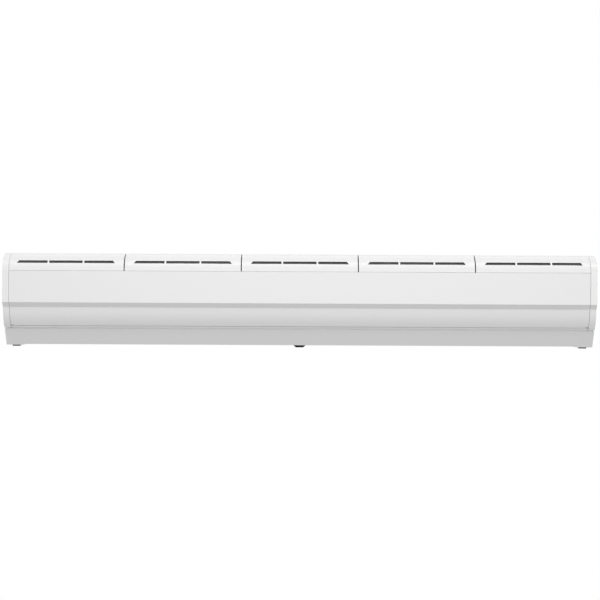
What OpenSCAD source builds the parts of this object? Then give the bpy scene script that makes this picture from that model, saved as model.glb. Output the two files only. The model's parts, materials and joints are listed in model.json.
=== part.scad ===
// Air curtain: a long wall-hung fan unit that blows a sheet of air down over a doorway.
// X runs along the unit, the front faces -Y and +Z is up. The wall is the plane Y = 0.
// The origin lies on the wall at the centre of the four bracket screws.
// Sections are drawn as depth from the wall against height above the casing's bottom.

/* [Casing] */
// Overall length
case_len = 1500; // [1300:10:1800]
// Height of the casing
case_h = 234; // [230:1:250]
// Depth from the wall to the front face
case_depth = 205; // [200:1:225]
// Gap behind the casing that holds the wall brackets
back_gap = 8; // [7:0.5:12]
// Radius of the rounded top front edge
top_round = 46; // [40:1:50]
// Height of the front face's lower edge
front_low = 109; // [107:1:115]
// How far the step under the front face goes in
step_in = 10; // [8:0.5:12]
// How far that step comes down
step_down = 11.8; // [10:0.2:13]
// Radius of the bulged fascia under the step
fascia_r = 95; // [85:1:110]
// How far the fascia's lower edge stands behind its upper edge
fascia_in = 20; // [17:0.5:22]
// Height of the thin rail under the fascia
rail_h = 4.7; // [3.5:0.1:5.5]
// Seam between the fascia and that rail
rail_seam = 0.6; // [0.4:0.1:1]
// Height of the bottom band
band_h = 42; // [40:1:46]
// Height of the dark groove over the bottom band
groove_h = 3; // [2:0.5:5]
// Depth of that groove behind the band's upper edge
groove_depth = 3; // [2:0.5:6]
// How far the band's upper edge stands behind the fascia's lower edge
band_back = 5.5; // [4:0.5:8]
// How far the band's lower edge stands behind its upper edge
band_lean = 24; // [20:1:28]
// Thickness of the end covers under the casing
under_t = 2; // [1.5:0.1:3]
// Sheet metal thickness
sheet = 1.5; // [1.2:0.1:2]
// Width of the turned-in flanges
flange_w = 15; // [12:1:18]
// Length of the relief cut in the fascia's lower corners
relief_len = 8; // [5:1:12]
// Height of that cut
relief_h = 1.2; // [0.8:0.1:2]

/* [End caps] */
// Width of an end cap
cap_w = 16.5; // [15:0.5:22]
// Wall of an end cap
cap_wall = 2.5; // [2:0.1:3.5]
// Seam between a cap and the front cover
cap_seam = 0.6; // [0.3:0.1:1]
// Depth of the groove under an end cap, at the end of the unit
end_groove = 1.2; // [0.8:0.1:3]

/* [Intake grilles] */
// Number of lift-off intake grilles
grille_count = 5; // [4:1:5]
// How much shorter each end grille is, at its outer end
grille_trim = 4.5; // [0:0.5:8]
// Wall of a grille
grille_wall = 2.4; // [2:0.1:3]
// Groove between two grilles
grille_gap = 2.6; // [1:0.1:3.2]
// Straight lap of a grille under its rounded front
grille_lap = 1.3; // [1:0.1:3]
// Seam under and behind a grille
grille_seam = 0.4; // [0.3:0.1:1]
// Slots in each row
slots_per_row = 3; // [3:1:4]
// Length of a slot that isn't at the end of its row
inner_slot = 84; // [45:1:90]
// Length of a whole slot row, with its ribs
slot_row_len = 242.5; // [200:0.5:250]
// Height of a slot
slot_h = 7.6; // [5:0.1:9]
// Rib between two slots
slot_rib = 4.5; // [3:0.5:8]
// How much a slot row is longer at its front edge, at each end
slot_slant = 5; // [0:0.5:8]
// Angle of the front slot row above the horizontal
slot_angle = 31; // [28:0.5:36]
// Number of slot rows on the flat top
top_rows = 6; // [3:1:6]
// Pitch of those rows
top_pitch = 19; // [16:0.5:21]

/* [Dust filters] */
// Space between a grille and its filter screen
filter_gap = 5; // [4:0.5:6]
// Thickness of the filter screen
screen_t = 0.8; // [0.6:0.1:1.2]
// Width of the filter's frame bars
filter_bar = 6; // [4:0.5:9]

/* [Fans] */
// Outer diameter of an impeller
impeller_d = 100; // [94:1:102]
// Radial width of the blade ring
blade_w = 11.5; // [9:0.5:13]
// Number of blades round an impeller
blade_count = 32; // [24:1:36]
// Thickness of a blade
blade_t = 0.9; // [0.7:0.1:1.2]
// Radius of a blade's curve
blade_r = 12; // [11:0.5:14]
// Stiffening rings along an impeller
ring_count = 6; // [4:1:8]
// Thickness of a ring
ring_t = 2.5; // [2:0.1:3.5]
// Distance from the fan axis to the front face
fan_front = 105; // [103:1:106]
// Height of the fan axis
fan_z = 132; // [130:1:135]
// Diameter of the fan shaft
shaft_d = 10; // [8:0.5:12]
// Radial clearance of a running fit
running = 0.06; // [0.02:0.01:0.09]
// Outer diameter of a bearing bush
bush_d = 18; // [16:0.5:20]
// Outer diameter of a bearing's rubber holder
holder_d = 32; // [28:1:36]

/* [Motor] */
// Diameter of the motor
motor_d = 84; // [76:1:90]
// Length of the motor case
motor_len = 90; // [80:1:96]
// Diameter of the motor's end bosses
boss_d = 36; // [32:1:40]
// Outer diameter of the rubber rings that carry the motor
ring_d = 48; // [46:1:52]
// Distance from the middle to the motor bay's side plates
bay_x = 70; // [68:1:76]

/* [Air path] */
// Length of the bay between a side plate and the end of the casing
end_bay = 50; // [49:1:60]
// Thickness of a side plate
plate_t = 2; // [1.5:0.1:2.5]
// Gap between the impeller and the scroll at its narrowest
scroll_gap = 4; // [3:0.5:6]
// Gap between the impeller and the stabiliser's nose
nose_gap = 3; // [2.5:0.5:5]
// Angle of the stabiliser's nose below the horizontal
nose_angle = 40; // [36:1:44]
// Wall of the scroll and the stabiliser
duct_t = 1.2; // [1:0.1:1.6]
// Height of the outlet nozzle's walls above the bottom
nozzle_h = 55; // [53:1:58]
// Width of the outlet
outlet_w = 66; // [64:0.5:70]

/* [Deflector] */
// Chord of a deflector vane
vane_chord = 40; // [34:1:42]
// Thickness of a vane at its pivot tube
vane_t = 8; // [7:0.5:9]
// Height of the vane pivots
vane_z = 24; // [23:0.5:25]
// Distance between the two vanes
vane_pitch = 34; // [30:1:36]
// Diameter of a vane's pivot pins
pin_d = 5; // [4:0.5:6]
// Distance from a vane's pivot to its link pin
link_arm = 15; // [13:0.5:16]
// Diameter of a link pin
link_pin_d = 4; // [3:0.5:4.5]
// Width of the foot of a pivot block, which shows under the casing
block_foot = 19; // [14:1:22]
// How far that foot hangs below the casing
block_drop = 3.6; // [2:0.2:4]
// Distance from the side plate to that foot
foot_off = 17.5; // [15:0.5:20]
// Rim of an end cover on the inner side of that foot
cover_rim = 8.5; // [6:0.5:12]

/* [Heater] */
// Diameter of a heating tube
tube_d = 8; // [7:0.5:9]
// Height of the heating tubes
heater_z = 66; // [65:0.5:68]
// Distance between two legs of a heating tube
tube_pitch = 16; // [14:0.5:17]

/* [Wall brackets] */
// Distance from the end of the casing in to the middle of each wall bracket
bracket_in = 250; // [100:10:400]
// Width of a bracket
bracket_w = 60; // [50:1:80]
// Height of a bracket
bracket_h = 130; // [120:1:150]
// Height of the bracket screws' centre above the bottom
mount_z = 130; // [120:1:135]
// Vertical distance between a bracket's two screws
screw_pitch = 90; // [80:1:100]
// Diameter of a bracket's screw holes
wall_hole_d = 8.5; // [6:0.5:10]

/* [Electrics] */
// Bore of the cable grommet
cable_d = 13; // [10:0.5:14]
// Width of the receiver window at its top
window_w = 29; // [24:1:34]
// How far the receiver window hangs below the casing
window_drop = 2.5; // [2:0.1:5]

/* [Hidden] */
$fn = 96;

// A point that lies outside every solid, for open-ended cuts
far = case_len;
// Small overshoot of a cutter through a face
cut = 1;

half_len = case_len / 2;
side_x = half_len - end_bay;
bracket_x = half_len - bracket_in;
fan_u = case_depth - fan_front;
seam_x = half_len - cap_w;
round_u = case_depth - top_round;
round_z = case_h - top_round;
step_u = case_depth - step_in;
step_z = front_low - step_down;
step_len = norm([step_in, step_down]);
fascia_z = band_h + groove_h;
fascia_c = arc_centre([step_u, step_z], [step_u - fascia_in, fascia_z], fascia_r);
band_u = step_u - fascia_in - band_back;
band_flange_u = band_u - 1.6 * flange_w;
floor_z = under_t + sheet;
back_in = back_gap + sheet;

grille_pitch = 2 * (seam_x + grille_trim) / grille_count;
grille_w = grille_pitch - grille_gap;
grille_low = round_z + grille_lap;
cover_top = grille_low - grille_seam;
rim_w = 12;
rim_u = back_gap + rim_w;
ledge_w = 12;
rib_t = 2;
rib_in = 1;
screen_in = grille_wall + filter_gap;

impeller_r = impeller_d / 2;
shaft_r = shaft_d / 2;
coupling_wall = 11;
coupling_flange = 5;
coupling_r = shaft_r + coupling_wall;
hub_off = 8;
hub_x = bay_x + hub_off;
disc_t = 3;
disc_off = 12;
impeller_end = side_x - disc_off;
scroll_swell = 8;
scroll_r = impeller_r + scroll_swell;
scroll_c = [fan_u + scroll_swell - scroll_gap, fan_z - scroll_swell / 2];
scroll_end = 188;
scroll_start = 122;
scroll_lip = scroll_c + (scroll_r + duct_t) * [cos(scroll_start), sin(scroll_start)];
lip_rise = 11;
nozzle_in = wall_u(scroll_tangent(), scroll_end, nozzle_h);
nozzle_out = nozzle_in + outlet_w;
nose = [fan_u + (impeller_r + nose_gap) * cos(nose_angle), fan_z - (impeller_r + nose_gap) * sin(nose_angle)];
nose_r = 2.5;
vane_u = [nozzle_in + (outlet_w - vane_pitch) / 2, nozzle_in + (outlet_w + vane_pitch) / 2];
vane_off = 14;
vane_end = side_x - vane_off;
loose = 0.4;
link_x = vane_end + loose;
link_t = 3;
block_x = [side_x + plate_t, side_x + plate_t + foot_off + block_foot];
block_over = [12, 22];
block_u = [vane_u[0] - block_over[0], vane_u[1] + block_over[1]];
foot_in = block_x[1] - block_foot;
tube_u = [for (k = [0:3]) (nozzle_in + nozzle_out) / 2 + (k - 1.5) * tube_pitch];
cap_posts = [[back_gap + 32, case_h - 20], [case_depth - 25, fan_z + 20], [nozzle_out + 18, fascia_z + 22]];
post_r = 5;
nozzle_foot = 8;
foot_n = 2;
foot_end = 56;
foot_x = [for (k = [-foot_n:foot_n]) k * (side_x - foot_end) / foot_n];

// Centre of the arc of radius r that bulges forward from p down to q
function arc_centre(p, q, r) =
    let (d = q - p, m = (p + q) / 2, n = [d[1], -d[0]] / norm(d))
    m + n * sqrt(r * r - d * d / 4);
// Depth of the step's slanted face at height z, for a casing section set in by i
function step_edge(z, i) = case_depth + (step_in * (z - front_low) - i * step_len) / step_down;
// Depth of the fascia's bulged face at height z
function fascia_face(z) = fascia_c[0] + sqrt(fascia_r * fascia_r - pow(z - fascia_c[1], 2));
// Depth of the bottom band's face at height z
function band_face(z) = band_u - band_lean * (1 - z / band_h);
// Where the scroll's arc ends, on its air side
function scroll_tangent() = scroll_c + scroll_r * [cos(scroll_end), sin(scroll_end)];
// Depth at height z of the straight wall that leaves point p along a circle's tangent at angle a
function wall_u(p, a, z) = p[0] + (z - p[1]) * sin(a) / -cos(a);

module in_case() translate([0, 0, -mount_z]) children();
// Draws a section (depth, height) and extrudes it along X
module run(x0, x1) translate([x1, 0, 0]) rotate([90, 0, -90]) linear_extrude(x1 - x0) children();
module run_both(x0, x1) {
    run(x0, x1) children();
    run(-x1, -x0) children();
}
module at(u, z) translate([0, -u, z]) children();
// Draws a right-hand piece on the side asked for, -1 for the left
module opposite(side) mirror([side < 0 ? 1 : 0, 0, 0]) children();
module both_sides() for (side = [-1, 1]) opposite(side) children();
// A cylinder along X
module rod(r, x0, x1) translate([x0, 0, 0]) rotate([0, 90, 0]) cylinder(r = r, h = x1 - x0);
// A rectangle from one corner to the opposite one
module rect(u0, z0, u1, z1) translate([u0, z0]) square([u1 - u0, z1 - z0]);
module block(x0, u0, z0, x1, u1, z1) translate([x0, -u1, z0]) cube([x1 - x0, u1 - u0, z1 - z0]);
module ring2d(r_out, r_in) difference() {
    circle(r_out);
    circle(r_in);
}
// A strip of sheet of thickness t on the left of the line from p to q
module strip(p, q, t) {
    n = [p[1] - q[1], q[0] - p[0]] / norm(q - p) * t;
    polygon([p, q, q + n, p + n]);
}

// The casing's outline above the groove, set in by i
module section(i = 0) {
    back = back_gap + i;
    front = case_depth - i;
    mid = (fascia_z + step_z) / 2;
    polygon([[back, mid], [step_edge(mid, i), mid], [front, front_low + i * (step_len - step_down) / step_in],
        [front, round_z], [round_u, round_z], [round_u, case_h - i], [back, case_h - i]]);
    translate([round_u, round_z]) intersection() {
        circle(top_round - i);
        square(top_round);
    }
    rect(back, fascia_z + i, fascia_c[0], mid);
    intersection() {
        translate(fascia_c) circle(fascia_r - i);
        rect(fascia_c[0], fascia_z + i, case_depth, front_low);
    }
}
module shell(i0, i1) difference() { section(i0); section(i1); }
module band_section(i = 0, low = under_t) polygon([[back_gap + i, low + i], [band_face(low + i) - i, low + i],
    [band_face(band_h) - i, band_h - i], [back_gap + i, band_h - i]]);

// Wall brackets: a channel on the wall, with two hooks that the chassis hangs on
hook_t = 2;
hook_w = 14;
hook_rise = 8;
hook_in = 24;
bracket_z = [mount_z - bracket_h / 2, mount_z + bracket_h / 2];
hook_z = [bracket_z[1] - hook_in, bracket_z[0] + hook_in];
module wall_bracket(x) in_case() color([0.72, 0.73, 0.74]) difference() {
    union() {
        block(x - bracket_w / 2, 0, bracket_z[0], x + bracket_w / 2, plate_t, bracket_z[1]);
        for (s = [-1, 1]) translate([s * (bracket_w - plate_t) / 2, 0, 0])
            block(x - plate_t / 2, 0, bracket_z[0], x + plate_t / 2, back_gap, bracket_z[1]);
        for (z = hook_z) {
            block(x - hook_w / 2, plate_t, z - hook_t, x + hook_w / 2, back_in + 2.5, z);
            block(x - hook_w / 2, back_in + 0.5, z - hook_t, x + hook_w / 2, back_in + 2.5, z + hook_rise);
        }
    }
    for (s = [-1, 1]) translate([x, 1, mount_z + s * screw_pitch / 2])
        rotate([90, 0, 0]) cylinder(d = wall_hole_d, h = back_gap);
}

// Rear chassis: back plate with a top rim and the ledge that the grilles rest on
ledge_z = case_h - grille_wall - 0.3;
module rear_chassis() in_case() color([0.75, 0.76, 0.77]) difference() {
    run(-seam_x + cap_seam, seam_x - cap_seam) {
        rect(back_gap, floor_z, back_in, case_h);
        rect(back_gap, case_h - sheet, rim_u, case_h);
        rect(rim_u - sheet, ledge_z - sheet, rim_u, case_h);
        rect(rim_u - sheet, ledge_z - sheet, rim_u + ledge_w, ledge_z);
    }
    for (x = [-bracket_x, bracket_x], z = hook_z)
        block(x - hook_w / 2 - 1, back_gap - cut, z - hook_t - hook_rise - 2,
            x + hook_w / 2 + 1, back_in + cut, z);
    translate([-cable_x, -back_gap + cut, cable_z]) rotate([90, 0, 0])
        cylinder(d = grommet_d, h = sheet + 2 * cut);
    for (x = cradle_screw_x, z = cradle_screw_z) translate([x, -back_gap + cut, z])
        rotate([90, 0, 0]) cylinder(r = thread_r + 0.3, h = sheet + 2 * cut);
}

// Front cover: front face with the slanted step, turned in along both edges
module front_cover() in_case() color([0.93, 0.93, 0.92]) run(-seam_x + cap_seam, seam_x - cap_seam) {
    intersection() {
        shell(0, sheet);
        rect(step_u - flange_w, step_z, case_depth, cover_top);
    }
    rect(case_depth - flange_w, cover_top - sheet, case_depth - sheet / 2, cover_top);
    rect(step_u - flange_w, step_z, step_u, step_z + sheet);
}

// Lower fascia: bulged panel under the step, turned in along both edges
fascia_flange_u = step_u - fascia_in - flange_w;
fascia_edge_z = fascia_z + rail_h + rail_seam;
rail_u = band_u - groove_depth;
module lower_fascia() in_case() color([0.9, 0.9, 0.89]) difference() {
    run(-seam_x + cap_seam, seam_x - cap_seam) {
        intersection() {
            shell(0, sheet);
            rect(fascia_flange_u, fascia_edge_z, case_depth, step_z);
        }
        rect(step_u - flange_w, step_z - sheet, step_u - sheet / 2, step_z);
        rect(fascia_flange_u, fascia_edge_z, fascia_face(fascia_edge_z) - sheet / 2, fascia_edge_z + sheet);
    }
    run_both(seam_x - cap_seam - relief_len, seam_x)
        rect(fascia_flange_u + flange_w / 2, 0, case_depth, fascia_edge_z + relief_h);
}
// Fascia rail: the thin strip between the fascia and the groove, standing on the bottom band's flange
module fascia_rail() in_case() color([0.9, 0.9, 0.89]) run(-seam_x + cap_seam, seam_x - cap_seam) {
    intersection() {
        shell(0, sheet);
        rect(rail_u - sheet, fascia_z, case_depth, fascia_z + rail_h);
    }
    rect(rail_u - sheet, band_h, rail_u, fascia_edge_z);
}

// The clearance round the foot of a pivot block
module foot_cut()
    block(foot_in - loose, block_u[0] - loose, -cut, block_x[1] + loose, block_u[1] + loose, floor_z + cut);

// Bottom casing: slanted band, underside with the outlet cut-out, and end walls
module bottom_casing() in_case() color([0.91, 0.91, 0.9]) difference() {
    union() {
        run(-half_len + sheet, half_len - sheet) {
            difference() {
                band_section();
                band_section(sheet);
                rect(0, floor_z, band_face(floor_z) - 12, band_h + cut);
                rect(0, band_h - sheet - cut, band_flange_u, band_h + cut);
            }
        }
        run_both(half_len - sheet, half_len) band_section();
        run_both(seam_x + cap_seam, half_len - sheet) rect(back_gap, floor_z, back_in, band_h);
    }
    block(-side_x + 3, nozzle_in, -far, side_x - 3, nozzle_out, floor_z + cut);
    block(-window_neck_w / 2 - 0.2, window_neck_u[0] - 0.2, -far,
        window_neck_w / 2 + 0.2, window_neck_u[1] + 0.2, floor_z + cut);
    both_sides() foot_cut();
    for (x = foot_x, u = foot_u) translate([x, -u, floor_z]) mirror([0, 0, 1])
        cylinder(r1 = thread_r + 0.3, r2 = thread_r + 0.3 + (sheet + cut) * flush_slope, h = sheet + cut);
}

// End covers under the casing, with a cut-out for the vane pivot block
module bottom_end_cover(side) in_case() color([0.9, 0.9, 0.89]) opposite(side) difference() {
    run(foot_in - cover_rim, half_len)
        polygon([[back_gap, 0], [band_face(0), 0], [band_face(under_t), under_t], [back_gap, under_t]]);
    foot_cut();
}

// End caps: hollow mouldings with posts that reach the side plate
module end_cap(side) in_case() color([0.92, 0.92, 0.91]) opposite(side) difference() {
    union() {
        run(seam_x, half_len - cap_wall) shell(0, cap_wall);
        run(half_len - cap_wall, half_len) section();
        run(seam_x, half_len - 1.5 * cap_wall)
            rect(rail_u - cap_wall, band_h, rail_u, fascia_z + cap_wall / 2);
        run(half_len - end_groove - cap_wall, half_len - end_groove)
            rect(back_gap, band_h, rail_u, fascia_z + cap_wall / 2);
        for (p = cap_posts) at(p[0], p[1]) rod(post_r, side_x + plate_t, half_len - cap_wall / 2);
    }
    for (p = cap_posts) at(p[0], p[1]) {
        rod(thread_r + 0.1, half_len - 20, half_len + cut);
        rod(head_r + 0.3, half_len - head_h - 0.2, half_len + cut);
    }
}

// Intake grilles: curved mouldings with slots in the rounded front and in the top
function slot_x(k) = (k - slots_per_row / 2) * (inner_slot + slot_rib);
module slot_outline() for (k = [0:slots_per_row - 1]) {
    a = k == 0 ? -slot_row_len / 2 : slot_x(k) + slot_rib / 2;
    b = k == slots_per_row - 1 ? slot_row_len / 2 : slot_x(k + 1) - slot_rib / 2;
    left = k == 0 ? slot_slant : 0;
    right = k == slots_per_row - 1 ? slot_slant : 0;
    polygon([[a - left / 2, -slot_h / 2], [b + right / 2, -slot_h / 2],
        [b - right / 2, slot_h / 2], [a + left / 2, slot_h / 2]]);
}
module slot_row(angle, r) rotate([90 - angle, 0, 0]) translate([0, 0, r])
    linear_extrude(grille_wall + 2 * cut) slot_outline();
function grille_x(k) = (k - (grille_count + 1) / 2) * grille_pitch;
module grille_rib() {
    latch = [case_depth - flange_w - 6, case_depth - flange_w - 0.4];
    intersection() {
        shell(grille_wall / 2, screen_in + 1.5);
        rect(rim_u + ledge_w + 1, grille_low + 4, case_depth, case_h);
    }
    rect(latch[0], cover_top - 8, latch[1], grille_low + 12);
    rect(latch[0], grille_low + 4, case_depth - screen_in, grille_low + 12);
}
function grille_ends(k) = [max(-grille_w / 2, -seam_x + cap_seam - grille_x(k)),
    min(grille_w / 2, seam_x - cap_seam - grille_x(k))];
module intake_grille(k) in_case() color([0.93, 0.93, 0.92]) translate([grille_x(k), 0, 0]) difference() {
    ends = grille_ends(k);
    union() {
        run(ends[0], ends[1]) intersection() {
            shell(0, grille_wall);
            rect(rim_u + grille_seam, grille_low, case_depth, case_h);
        }
        run(ends[0] + rib_in, ends[0] + rib_in + rib_t) grille_rib();
        run(ends[1] - rib_in - rib_t, ends[1] - rib_in) grille_rib();
    }
    at(round_u, round_z) slot_row(slot_angle, top_round - grille_wall - cut);
    for (j = [0:top_rows - 1]) at(round_u - 14 - j * top_pitch, case_h - grille_wall - cut) slot_row(90, 0);
}

// Dust filters: a curved frame with cross bars and a fine screen, under each grille
filter_back = rim_u + ledge_w + 3;
module filter_band(i0, i1) intersection() {
    shell(i0, i1);
    rect(filter_back, grille_low + 8, case_depth, case_h);
}
module dust_filter(k) in_case() color([0.25, 0.26, 0.27]) translate([grille_x(k), 0, 0]) {
    a = grille_ends(k)[0] + rib_in + rib_t + 0.3;
    b = grille_ends(k)[1] - rib_in - rib_t - 0.3;
    run(a, b) filter_band(screen_in - screen_t, screen_in);
    run(a, a + filter_bar) filter_band(grille_wall + 0.3, screen_in + 1);
    run(b - filter_bar, b) filter_band(grille_wall + 0.3, screen_in + 1);
    run((a + b - filter_bar) / 2, (a + b + filter_bar) / 2) filter_band(screen_in - 1.8, screen_in + 1);
    run(a, b) {
        rect(filter_back, case_h - screen_in - 1, filter_back + filter_bar, case_h - screen_in + 1);
        rect(round_u - filter_bar, case_h - screen_in - 1, round_u, case_h - screen_in + 1);
    }
}

// Side plates: the outer ones carry the bearings, the inner ones stand either side of the motor
plate_inset = flange_w + 0.6;
module plate_outline(low) intersection() {
    union() {
        section(plate_inset);
        rect(back_in, low, fan_u, case_h - plate_inset);
        intersection() {
            section(sheet);
            rect(fan_u, step_z + flange_w, case_depth, round_z - flange_w);
        }
        polygon([[back_in, low], [band_face(floor_z) - 4, floor_z], [band_flange_u - 2, band_h],
            [band_flange_u - 2, fascia_z + 20], [back_in, fascia_z + 20]]);
    }
    rect(back_in, low, case_depth, case_h);
}
module side_plate(side) in_case() color([0.76, 0.77, 0.78]) opposite(side) difference() {
    run(side_x, side_x + plate_t) difference() {
        plate_outline(floor_z);
        translate([fan_u, fan_z]) circle(d = holder_d);
        for (u = vane_u) translate([u, vane_z]) circle(pin_d / 2 + 0.6);
        for (u = tube_u) translate([u, heater_z]) circle(tube_d / 2 + 0.3);
        for (p = cap_posts) translate(p) circle(thread_r + 0.3);
        translate([back_in + trunk_w / 2, trunk_z + trunk_w / 2]) circle(trunk_w / 2 - 2);
    }
}
module motor_bay_plate(side) in_case() color([0.76, 0.77, 0.78]) opposite(side)
    run(bay_x, bay_x + plate_t) difference() {
        plate_outline(nozzle_h);
        translate([fan_u, fan_z]) circle(boss_d / 2 + 12);
        translate([back_in + trunk_w / 2, trunk_z + trunk_w / 2]) circle(trunk_w / 2 - 2);
    }

// Scrolls: the rear walls round the impellers, from the back plate down to the nozzle
module scroll_section() intersection() {
    union() {
        difference() {
            translate(scroll_c) ring2d(scroll_r + duct_t, scroll_r);
            polygon([scroll_c, scroll_c + far * [cos(scroll_end), sin(scroll_end)], [far, -far], [far, far],
                scroll_c + far * [cos(scroll_start), sin(scroll_start)]]);
        }
        strip([nozzle_in, nozzle_h], scroll_tangent(), duct_t);
        strip(scroll_lip, [back_in - cut, scroll_lip[1] + lip_rise], duct_t);
    }
    rect(back_in, nozzle_h, far, far);
}
module scroll(side) in_case() color([0.74, 0.75, 0.76]) opposite(side)
    run(bay_x + plate_t, side_x) scroll_section();

// Stabilisers: the front walls, with a rolled nose close to the impeller
module stabiliser_section() {
    strip([nozzle_out + duct_t, nozzle_h], nose + [nose_r, 0], duct_t);
    translate(nose + [nose_r, 0]) circle(nose_r);
    strip(nose + [nose_r, 0], [case_depth - sheet, nose[1] + 16], duct_t);
}
module stabiliser(side) in_case() color([0.74, 0.75, 0.76]) opposite(side)
    run(bay_x + plate_t, side_x) stabiliser_section();

// Outlet nozzle: front and rear walls of the outlet, standing on the underside
foot_u = [nozzle_in - sheet - nozzle_foot / 2, nozzle_out + sheet + nozzle_foot / 2];
module outlet_nozzle() in_case() color([0.8, 0.81, 0.82]) difference() {
    union() {
        run(-side_x, side_x) {
            rect(nozzle_in - sheet, floor_z, nozzle_in, nozzle_h);
            rect(nozzle_in - sheet - nozzle_foot, floor_z, nozzle_in, floor_z + sheet);
            rect(nozzle_out, floor_z, nozzle_out + sheet, nozzle_h);
            rect(nozzle_out, floor_z, nozzle_out + sheet + nozzle_foot, floor_z + sheet);
        }
        run_both(side_x - sheet, side_x)
            rect(nozzle_in - sheet / 2, guard_z - 11, nozzle_out + sheet / 2, guard_z - 1);
    }
    for (x = foot_x, u = foot_u) translate([x, -u, floor_z - cut])
        cylinder(r = thread_r + 0.1, h = sheet + 2 * cut);
}

// Outlet guard: a ladder of thin bars over the vanes that keeps fingers from the impellers
guard_z = nozzle_h - 7;
guard_pitch = 25;
guard_t = 1.6;
guard_h = 4;
guard_n = floor((side_x - 10) / guard_pitch);
module outlet_guard() in_case() color([0.3, 0.31, 0.32]) {
    run(-side_x + 0.3, side_x - 0.3) {
        rect(nozzle_in + 0.2, guard_z, nozzle_in + 2.2, guard_z + guard_h);
        rect(nozzle_out - 2.2, guard_z, nozzle_out - 0.2, guard_z + guard_h);
    }
    for (k = [-guard_n:guard_n])
        block(k * guard_pitch - guard_t / 2, nozzle_in + 1, guard_z + 0.5,
            k * guard_pitch + guard_t / 2, nozzle_out - 1, guard_z + guard_h - 0.5);
}

// Deflector vanes: slim lens sections round a pivot tube, with pivot and link pins at the ends
lens_t = 4;
lens_r = (vane_chord * vane_chord + lens_t * lens_t) / (4 * lens_t);
module vane_section() {
    intersection() {
        translate([lens_r - lens_t / 2, 0]) circle(lens_r, $fn = 360);
        translate([lens_t / 2 - lens_r, 0]) circle(lens_r, $fn = 360);
    }
    circle(vane_t / 2);
}
module deflector_vane(u) in_case() color([0.88, 0.88, 0.87]) at(u, vane_z) {
    run(-vane_end, vane_end) vane_section();
    rod(pin_d / 2, -block_x[1] + 3, block_x[1] - 3);
    at(0, link_arm) {
        rod(link_pin_d / 2, -link_x - link_t - 2.2, -vane_end + 2);
        rod(link_pin_d / 2 + 1.2, -link_x - link_t - 2.2, -link_x - link_t - 0.4);
    }
}
// Vane link: a flat bar with an eye round each vane's link pin
module vane_link() in_case() color([0.15, 0.15, 0.16]) run(-link_x - link_t, -link_x) difference() {
    union() {
        for (u = vane_u) translate([u, vane_z + link_arm]) circle(link_pin_d / 2 + 3);
        rect(vane_u[0], vane_z + link_arm - 2.5, vane_u[1], vane_z + link_arm + 2.5);
    }
    translate([vane_u[1], vane_z + link_arm]) circle(link_pin_d / 2 + running);
    translate([vane_u[0], vane_z + link_arm]) circle(link_pin_d / 2 + 0.4);
}
// Pivot blocks: bearings for the vane pins outside the side plates, showing under the end covers
module vane_pivot_block(side) in_case() color([0.07, 0.07, 0.075]) opposite(side)
    difference() {
        union() {
            run(block_x[0], block_x[1]) rect(block_u[0], floor_z, block_u[1], vane_z + 9);
            run(foot_in, block_x[1]) rect(block_u[0], -block_drop, block_u[1], floor_z + 1);
        }
        for (u = vane_u) at(u, vane_z) rod(pin_d / 2 + running, 0, far);
    }

// Motor, its shaft, the cradle and the rubber rings between them
boss_end = motor_len / 2 + 12;
module motor_case() in_case() color([0.6, 0.61, 0.62]) at(fan_u, fan_z) difference() {
    union() {
        rod(motor_d / 2, -motor_len / 2 + 6, motor_len / 2 - 6);
        rod(motor_d / 2 - 3, -motor_len / 2, motor_len / 2);
        rod(boss_d / 2, -boss_end, boss_end);
    }
    rod(shaft_r + running, -boss_end - cut, boss_end + cut);
}
module motor_shaft() in_case() color([0.7, 0.71, 0.72]) at(fan_u, fan_z) rod(shaft_r, -hub_x - 6, hub_x + 6);
cradle_x = motor_len / 2 + 6;
ring_r = ring_d / 2;
module motor_rubber_rings() in_case() color([0.08, 0.08, 0.08]) at(fan_u, fan_z) both_sides()
    difference() {
        union() {
            rod(ring_r, cradle_x - 3, cradle_x + 5);
            rod(ring_r + 3, cradle_x - 3, cradle_x);
            rod(ring_r + 3, cradle_x + plate_t, cradle_x + 5);
        }
        rod(boss_d / 2, 0, far);
    }
cradle_h = 84;
module motor_cradle() in_case() color([0.7, 0.71, 0.72]) difference() {
    union() {
        run_both(cradle_x, cradle_x + plate_t) {
            rect(back_in, fan_z - cradle_h / 2, back_in + 12, fan_z + cradle_h / 2);
            rect(back_in, fan_z - ring_r - 8, fan_u, fan_z + ring_r + 8);
            translate([fan_u, fan_z]) circle(ring_r + 8);
        }
        block(-cradle_x - 1, back_in, fan_z - cradle_h / 2, cradle_x + 1, back_in + 2, fan_z + cradle_h / 2);
    }
    at(fan_u, fan_z) rod(ring_r, -far, far);
    for (x = cradle_screw_x, z = cradle_screw_z) translate([x, 0, z])
        rotate([90, 0, 0]) cylinder(r = thread_r + 0.1, h = back_in + 4);
}

// Impellers: a ring of curved blades through stiffening rings, with a closed disc at each end
blade_out = impeller_r - 0.6;
module blade() intersection() {
    translate([blade_out - blade_w / 2, blade_r - 1.5])
        ring2d(blade_r + blade_t / 2, blade_r - blade_t / 2);
    translate([blade_out - blade_w, -blade_r]) square([blade_w, 1.55 * blade_r]);
}
module impeller(side) in_case() color([0.66, 0.67, 0.68]) at(fan_u, fan_z) opposite(side) {
    difference() {
        rod(impeller_r, hub_x, hub_x + disc_t);
        rod(coupling_r, hub_x - cut, hub_x + disc_t + cut);
    }
    rod(impeller_r, impeller_end - disc_t, impeller_end);
    rod(shaft_r, impeller_end - disc_t, side_x + 8);
    rod(shaft_r + 5, impeller_end - 10, impeller_end + 3);
    for (k = [1:ring_count - 1])
        translate([hub_x + k * (impeller_end - hub_x) / ring_count, 0, 0]) rotate([0, 90, 0])
            linear_extrude(ring_t, center = true) ring2d(impeller_r, impeller_r - blade_w - 2);
    run(hub_x + disc_t / 2, impeller_end - disc_t / 2)
        for (k = [0:blade_count - 1]) rotate(k * 360 / blade_count) blade();
}
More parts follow.
